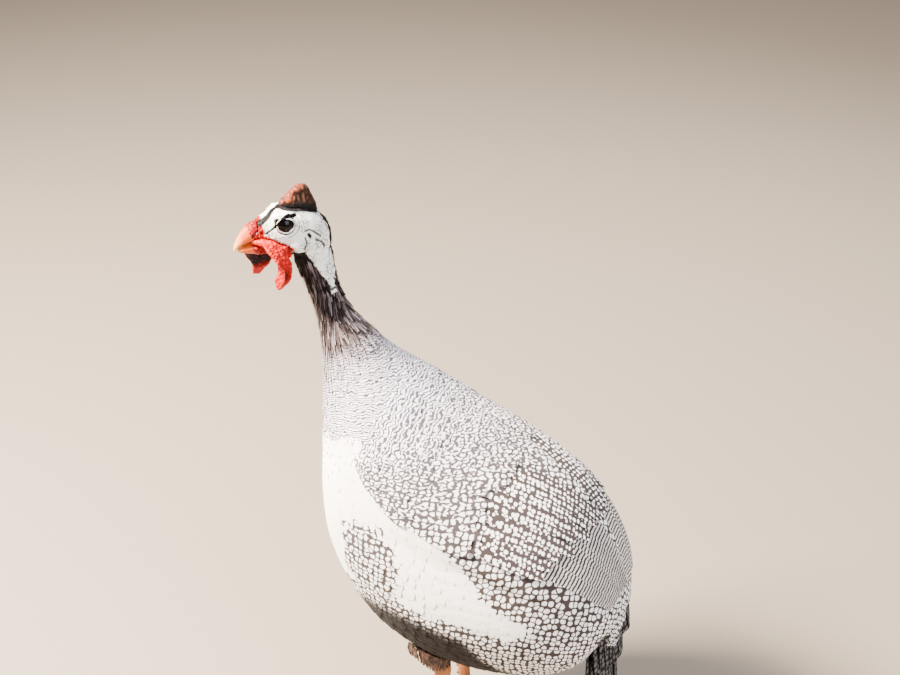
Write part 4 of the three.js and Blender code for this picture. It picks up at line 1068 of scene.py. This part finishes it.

# Wattles
# Two scarlet flaps that hang from the corners of the mouth, cupped forward and warty on their faces, with
# shade painted dark on the inner face and inside the cup. Living skin full of blood, soft and slightly
# glossy, grown from the cheek.

# Skin full of blood: light goes in and comes out red, and the warts catch it.
wattle_skin, shader, add, warts, black = new_material("scarlet_wattle_skin", "warts", "black")
# Painted shade, near black maroon, on the inner face and in the cup; the lowest tip is as dark.
scarlet = painted(add, "#860301", (warts, "#e00f07"), (black, "#1c0203"))
plug_in(shader, Base_Color=scarlet, Roughness=0.45, Specular_IOR_Level=0.12, Subsurface_Weight=0.1,
        Subsurface_Radius=(0.004, 0.001, 0.0008), Subsurface_Scale=0.5)
# A fleshy roll runs from the bill along the gape into each flap, as balls of [forward, side, up, radius].
GAPE_ROLL = np.array([
    [23, 5.6, -10.4, 1.5], [20, 8, -10.2, 2.2], [16.5, 10.2, -10.2, 2.8], [13, 12, -11, 3.1],
    [10, 13.4, -12.8, 3.2], [7, 14.4, -15.2, 3.1], [4, 15, -17.8, 2.6], [1.5, 14.6, -19.6, 1.9],
])
for hand, sign in (("left", 1), ("right", -1)):
    roll = np.stack([np.interp(np.linspace(0, 7, 22), np.arange(8), column) for column in GAPE_ROLL.T], 1)
    roll[:, 1] *= sign
    flap = fused_copy("wattle_skin_" + hand, ["wattle_" + hand], 0.00045, 5, roll)
    place = in_head(points_of(flap))
    # The near flap is pressed back to its front edge, and the far one swings forward.
    if hand == "left":
        front_limit = np.interp(place[:, 2], [-46, -42, -40, -37, -33, -28, -24, -20, -16, -12],
                                [10, 12, 12, 8.6, 7, 6.6, 8, 10.5, 14, 30])
        place[:, 0] = np.minimum(place[:, 0], front_limit + 0.22 * (place[:, 0] - front_limit))
    else:
        stretch = np.interp(place[:, 2], [-46, -40, -34, -28, -20, -14], [0.05, 0.25, 0.5, 0.75, 0.7, 0.1])
        place[:, 0] += stretch * np.clip(place[:, 0] - 6, 0, None)
    move_points(flap, from_head(place))
    aside = sign * (point_normals(flap) @ HEAD_AXES.T)[:, 1]
    ahead, above = place[:, 0], place[:, 2]
    warts = cells_at(place, 2.4)
    tip = np.clip((-43.5 - above) / 3, 0, 1)
    # The inner face and the hollow of the cup are marked for painted shade, and the lowest tip is darkened
    # too.
    cup = np.clip(-aside * 2, 0, 1) * np.clip((above + 40) / 6, 0, 1) * (above < -17)
    hollow = np.clip(1.5 - np.hypot((ahead - 5.6) / 2.4, (above + 31) / 5.4), 0, 1) * (aside > 0)
    lobe = np.exp(-((above + 39) / 5) ** 2) + 1.2 * np.exp(-((above + 21) / 7) ** 2)
    swell(flap, 0.5 * warts * (1 - tip) + 0.35 * noise_at(place, 4, 3) + 0.6 * lobe - 0.8 * hollow)
    mark(flap, warts=warts, black=np.maximum(np.maximum(tip, cup), hollow * 0.8))
    flap.data.materials.append(wattle_skin)
    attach(flap, "root")
    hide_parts("wattle_" + hand)

# Eyes
# A dark brown iris round a wide black pupil, wet and glossy, set deep between the lids. It is made as a glass
# eye is: one polished ball, coloured in rings about the way it looks.

EYE_RADIUS = 0.0071
# Polished and wet, so that it shows one small bright light on near black.
eyeball, shader, add, across = new_material("dark_wet_eye", "across")
rings = [(0.0, "#010101"), (0.3, "#010101"), (0.36, "#0a0503"), (0.6, "#060302"), (0.75, "#020101")]
plug_in(shader, Base_Color=add("ValToRGB", {"stops": rings}, across), Roughness=0.08, Specular_IOR_Level=0.14)
for hand, sign in (("left", 1), ("right", -1)):
    middle = sum((Vector(corner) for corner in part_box("eye_" + hand)), Vector()) / 2
    bpy.ops.object.select_all(action="DESELECT")
    bpy.ops.mesh.primitive_uv_sphere_add(segments=64, ring_count=32, radius=EYE_RADIUS, location=middle)
    ball = bpy.context.object
    ball.name = "eyeball_" + hand
    bpy.ops.object.transform_apply(location=True, rotation=True, scale=True)
    bpy.ops.object.shade_smooth()
    facing = (points_of(ball) - np.array(middle)) @ (HEAD_AXES[1] * sign)
    mark(ball, across=np.arccos(np.clip(facing / EYE_RADIUS, -1, 1)) / math.pi * 2)
    ball.data.materials.append(eyeball)
    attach(ball, "root")
    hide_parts("eye_" + hand)

# Thighs
# The feathered drumsticks under the belly: warm flesh under short grey-brown feathers that end at the hock.
# The skin is the solid, smoothed and sunk a little, and the feathers are rooted on it row by row.

# Short soft plumage scatters the light, so that it looks matt, with a mottle of 6 mm.
thigh_coat, shader, add = new_material("grey_brown_thigh_plumage")
mottle = add("TexNoise", Vector=add("TexCoord", out="Object"), Scale=170.0, Detail=3.0)
mottle = add("ValToRGB", {"stops": [(0.35, "#2a180e"), (0.6, "#5e4230")]}, mottle)
plug_in(shader, Base_Color=mottle, Roughness=0.75)
VANE_LENGTH, VANE_HALF = 0.013, 0.0034
THIGH_ROWS, IN_ROW = 16, 18
across = np.broadcast_to(np.linspace(-1, 1, 5) * VANE_HALF, (THIGH_ROWS * IN_ROW, 6, 5))
along = np.broadcast_to(np.linspace(0, VANE_LENGTH, 6)[:, None], across.shape)
spots = np.stack([across * 1000, along * 1000], -1)
for hand in ("left", "right"):
    thigh = fused_copy("thigh_" + hand, ["drumstick_" + hand], 0.0014, 3)
    thigh_points = points_of(thigh)
    swell(thigh, -0.8)
    thigh.data.materials.append(thigh_coat)
    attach(thigh, "root")
    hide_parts("drumstick_" + hand)
    thigh_surface = surface_of(thigh.data)
    low, high = thigh_points[:, 2].min(), thigh_points[:, 2].max()
    heights = np.linspace(low, high, 30)
    middles = [thigh_points[np.abs(thigh_points[:, 2] - z) < 0.004].mean(0) for z in heights]
    tops, outs, roots = [], [], []
    for row in range(THIGH_ROWS):
        height = low + 0.004 + (high - low) * 0.8 * row / (THIGH_ROWS - 1)
        centre = Vector(middles[int(29 * (height - low) / (high - low))])
        for k in range(IN_ROW):
            turn = 2 * math.pi * (k + 0.5 * (row % 2) + draw.uniform(-0.15, 0.15)) / IN_ROW
            way = Vector((math.cos(turn), math.sin(turn), 0))
            side_way = Vector((-way.y, way.x, 0))
            top, out = np.zeros((6, 5, 3)), np.zeros((6, 5, 3))
            for i in range(6):
                for j in range(5):
                    u, c = i / 5, (j - 2) / 2
                    start = centre + way * 0.06
                    start = start + side_way * (VANE_HALF * c * float(vane_outline(np.array(u), 0.6)))
                    start.z = height - VANE_LENGTH * u
                    spot, normal, _, _ = thigh_surface.find_nearest(centre + (start - centre) * 0.25)
                    top[i, j] = spot + normal * (0.0003 + 0.0011 * u - 0.0003 * c * c)
                    top[i, j, 2] = min(top[i, j, 2], start.z + 0.004)
                    out[i, j] = normal
            tops.append(top)
            outs.append(out)
            roots.append((0.8 + 0.02 * turn / 6.3 + (0.03 if hand == "left" else 0), 0.5 + 0.02 * row))
    tops, outs, roots = np.array(tops), np.array(outs), np.array(roots)
    tone = {"tone": draw.uniform(0, 1, (len(tops), 1, 1))}
    vane_mesh("thigh_feathers_" + hand, tops, outs, 0.0003, across, along, roots, tone, spots, spots,
              thigh_coat)

# Legs and feet
# Bare legs clad in horny scales: a double row of overlapping scutes down the front of the shank and over each
# toe, small granular scales elsewhere. Dull orange-brown, dry and matt, in one skin from hock to toe tips.

# Dry horny scales: matt, with shade painted dark into the grooves between them, grains of 1.4 mm and blotches
# of 11 mm.
scaly, shader, add, crease = new_material("orange_brown_scaly_leg_skin", "crease")
on_leg = add("TexCoord", out="Object")
grains = add("TexVoronoi", Vector=on_leg, Scale=700.0, Randomness=0.8)
patchy = add("TexNoise", Vector=on_leg, Scale=90.0, Detail=3.0)
plug_in(shader, Base_Color=painted(add, "#6a3410", (patchy, "#a8622c"), (crease, "#24120a")), Roughness=0.58,
        Normal=add("Bump", Strength=0.5, Distance=0.0003, Height=grains))
SCUTE_GAP, TOE_SCUTE_GAP = 5.2, 3.4  # in millimetres
for hand in ("left", "right"):
    leg = fused_copy("leg_skin_" + hand, ["shank_" + hand, "foot_" + hand], 0.0006, 3)
    leg_points = points_of(leg)
    leg_out = point_normals(leg)
    z = leg_points[:, 2] * 1000
    ring = (z / SCUTE_GAP + 0.5 * (leg_points[:, 0] > leg_points[z > 25][:, 0].mean())) % 1
    front = np.clip(-leg_out[:, 1] * 1.6, 0, 1) * np.clip((z - 18) / 6, 0, 1)
    heel = leg_points[(z > 12) & (z < 20)].mean(0)
    reach = np.hypot(leg_points[:, 0] - heel[0], leg_points[:, 1] - heel[1]) * 1000
    on_top = np.clip(leg_out[:, 2] * 1.5, 0, 1) * np.clip((reach - 9) / 4, 0, 1) * (z < 20)
    step = (reach / TOE_SCUTE_GAP) % 1
    scute = front * (0.55 * (1 - ring) ** 0.6) + on_top * 0.4 * (1 - step) ** 0.6
    groove = front * np.clip(1 - np.minimum(ring, 1 - ring) / 0.09, 0, 1)
    groove = np.maximum(groove, on_top * np.clip(1 - np.minimum(step, 1 - step) / 0.12, 0, 1))
    swell(leg, (scute - 0.25 - 0.25 * groove) * np.clip((z - 1.2) / 1.5, 0, 1))
    # The grooves between the scutes are painted dark as shade.
    mark(leg, crease=groove)
    leg.data.materials.append(scaly)
    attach(leg, "root")
    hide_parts("shank_" + hand, "foot_" + hand)

# Claws
# Short blunt claws of dark brown horn with paler streaks, each grown from the end of its toe. The solid
# claws, smoothed.

# Claw horn is harder and glossier than the scales round it, with streaks of 2 mm.
claw_horn, shader, add = new_material("dark_brown_claw_horn")
fibres = add("TexNoise", Vector=add("TexCoord", out="Object"), Scale=500.0, Detail=3.0)
fibres = add("ValToRGB", {"stops": [(0.35, "#3a2a22"), (0.65, "#6b5546")]}, fibres)
plug_in(shader, Base_Color=fibres, Roughness=0.4)
for hand in ("left", "right"):
    for toe in ("inner", "middle", "outer", "hind"):
        node = "claw_" + hand + "_" + toe
        claw = fused_copy(node + "_horn", [node], 0.0003, 2)
        claw.data.materials.append(claw_horn)
        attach(claw, "root")
        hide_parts(node)

# Floor, lights and camera
# A plain matt floor. A key light stands ahead of the bird and to its left, with a weak wide fill behind it
# and another weak light to its right, and the camera looks down at it from its left.

bpy.ops.object.select_all(action="DESELECT")
bpy.ops.mesh.primitive_plane_add(size=6, location=(0, 0, -0.0005))
floor = bpy.context.object
floor.name = "floor"
# Uncoated paper scatters all the light that falls on it and shows no gloss.
paper, shader, add = new_material("pale_matt_paper")
plug_in(shader, Base_Color="#84786a", Roughness=0.9)
floor.data.materials.append(paper)


def soft_light(name, place, target, size, watts, colour):
    bpy.ops.object.light_add(type="AREA", location=place)
    light = bpy.context.object
    light.name = name
    light.data.size = size
    light.data.energy = watts
    light.data.color = srgb(colour)[:3]
    light.rotation_euler = (Vector(target) - Vector(place)).to_track_quat("-Z", "Y").to_euler()


soft_light("key_light", (0.5, -1.0, 1.5), (0, 0, 0.25), 0.4, 430, "#fff2e2")
soft_light("fill_light", (0.7, 1.2, 0.9), (0, 0, 0.25), 1.2, 42, "#eef3ff")
soft_light("back_light", (-1.2, 0.3, 1.2), (0, 0, 0.3), 1.0, 24, "#ffffff")
world = bpy.data.worlds.new("studio")
bpy.context.scene.world = world
world.use_nodes = True
plug_in(world.node_tree.nodes["Background"], "#dfe3e8", 0.6)

camera_data = bpy.data.cameras.new("camera")
camera = bpy.data.objects.new("camera", camera_data)
bpy.context.collection.objects.link(camera)
camera_data.sensor_width = 36
camera_data.lens = 49.9
camera.location = Vector((0.7193, 0.2425, 0.825)) + SHIFT
camera.rotation_euler = Vector((-0.8138, -0.2962, -0.5)).to_track_quat("-Z", "Y").to_euler()
bpy.context.scene.camera = camera
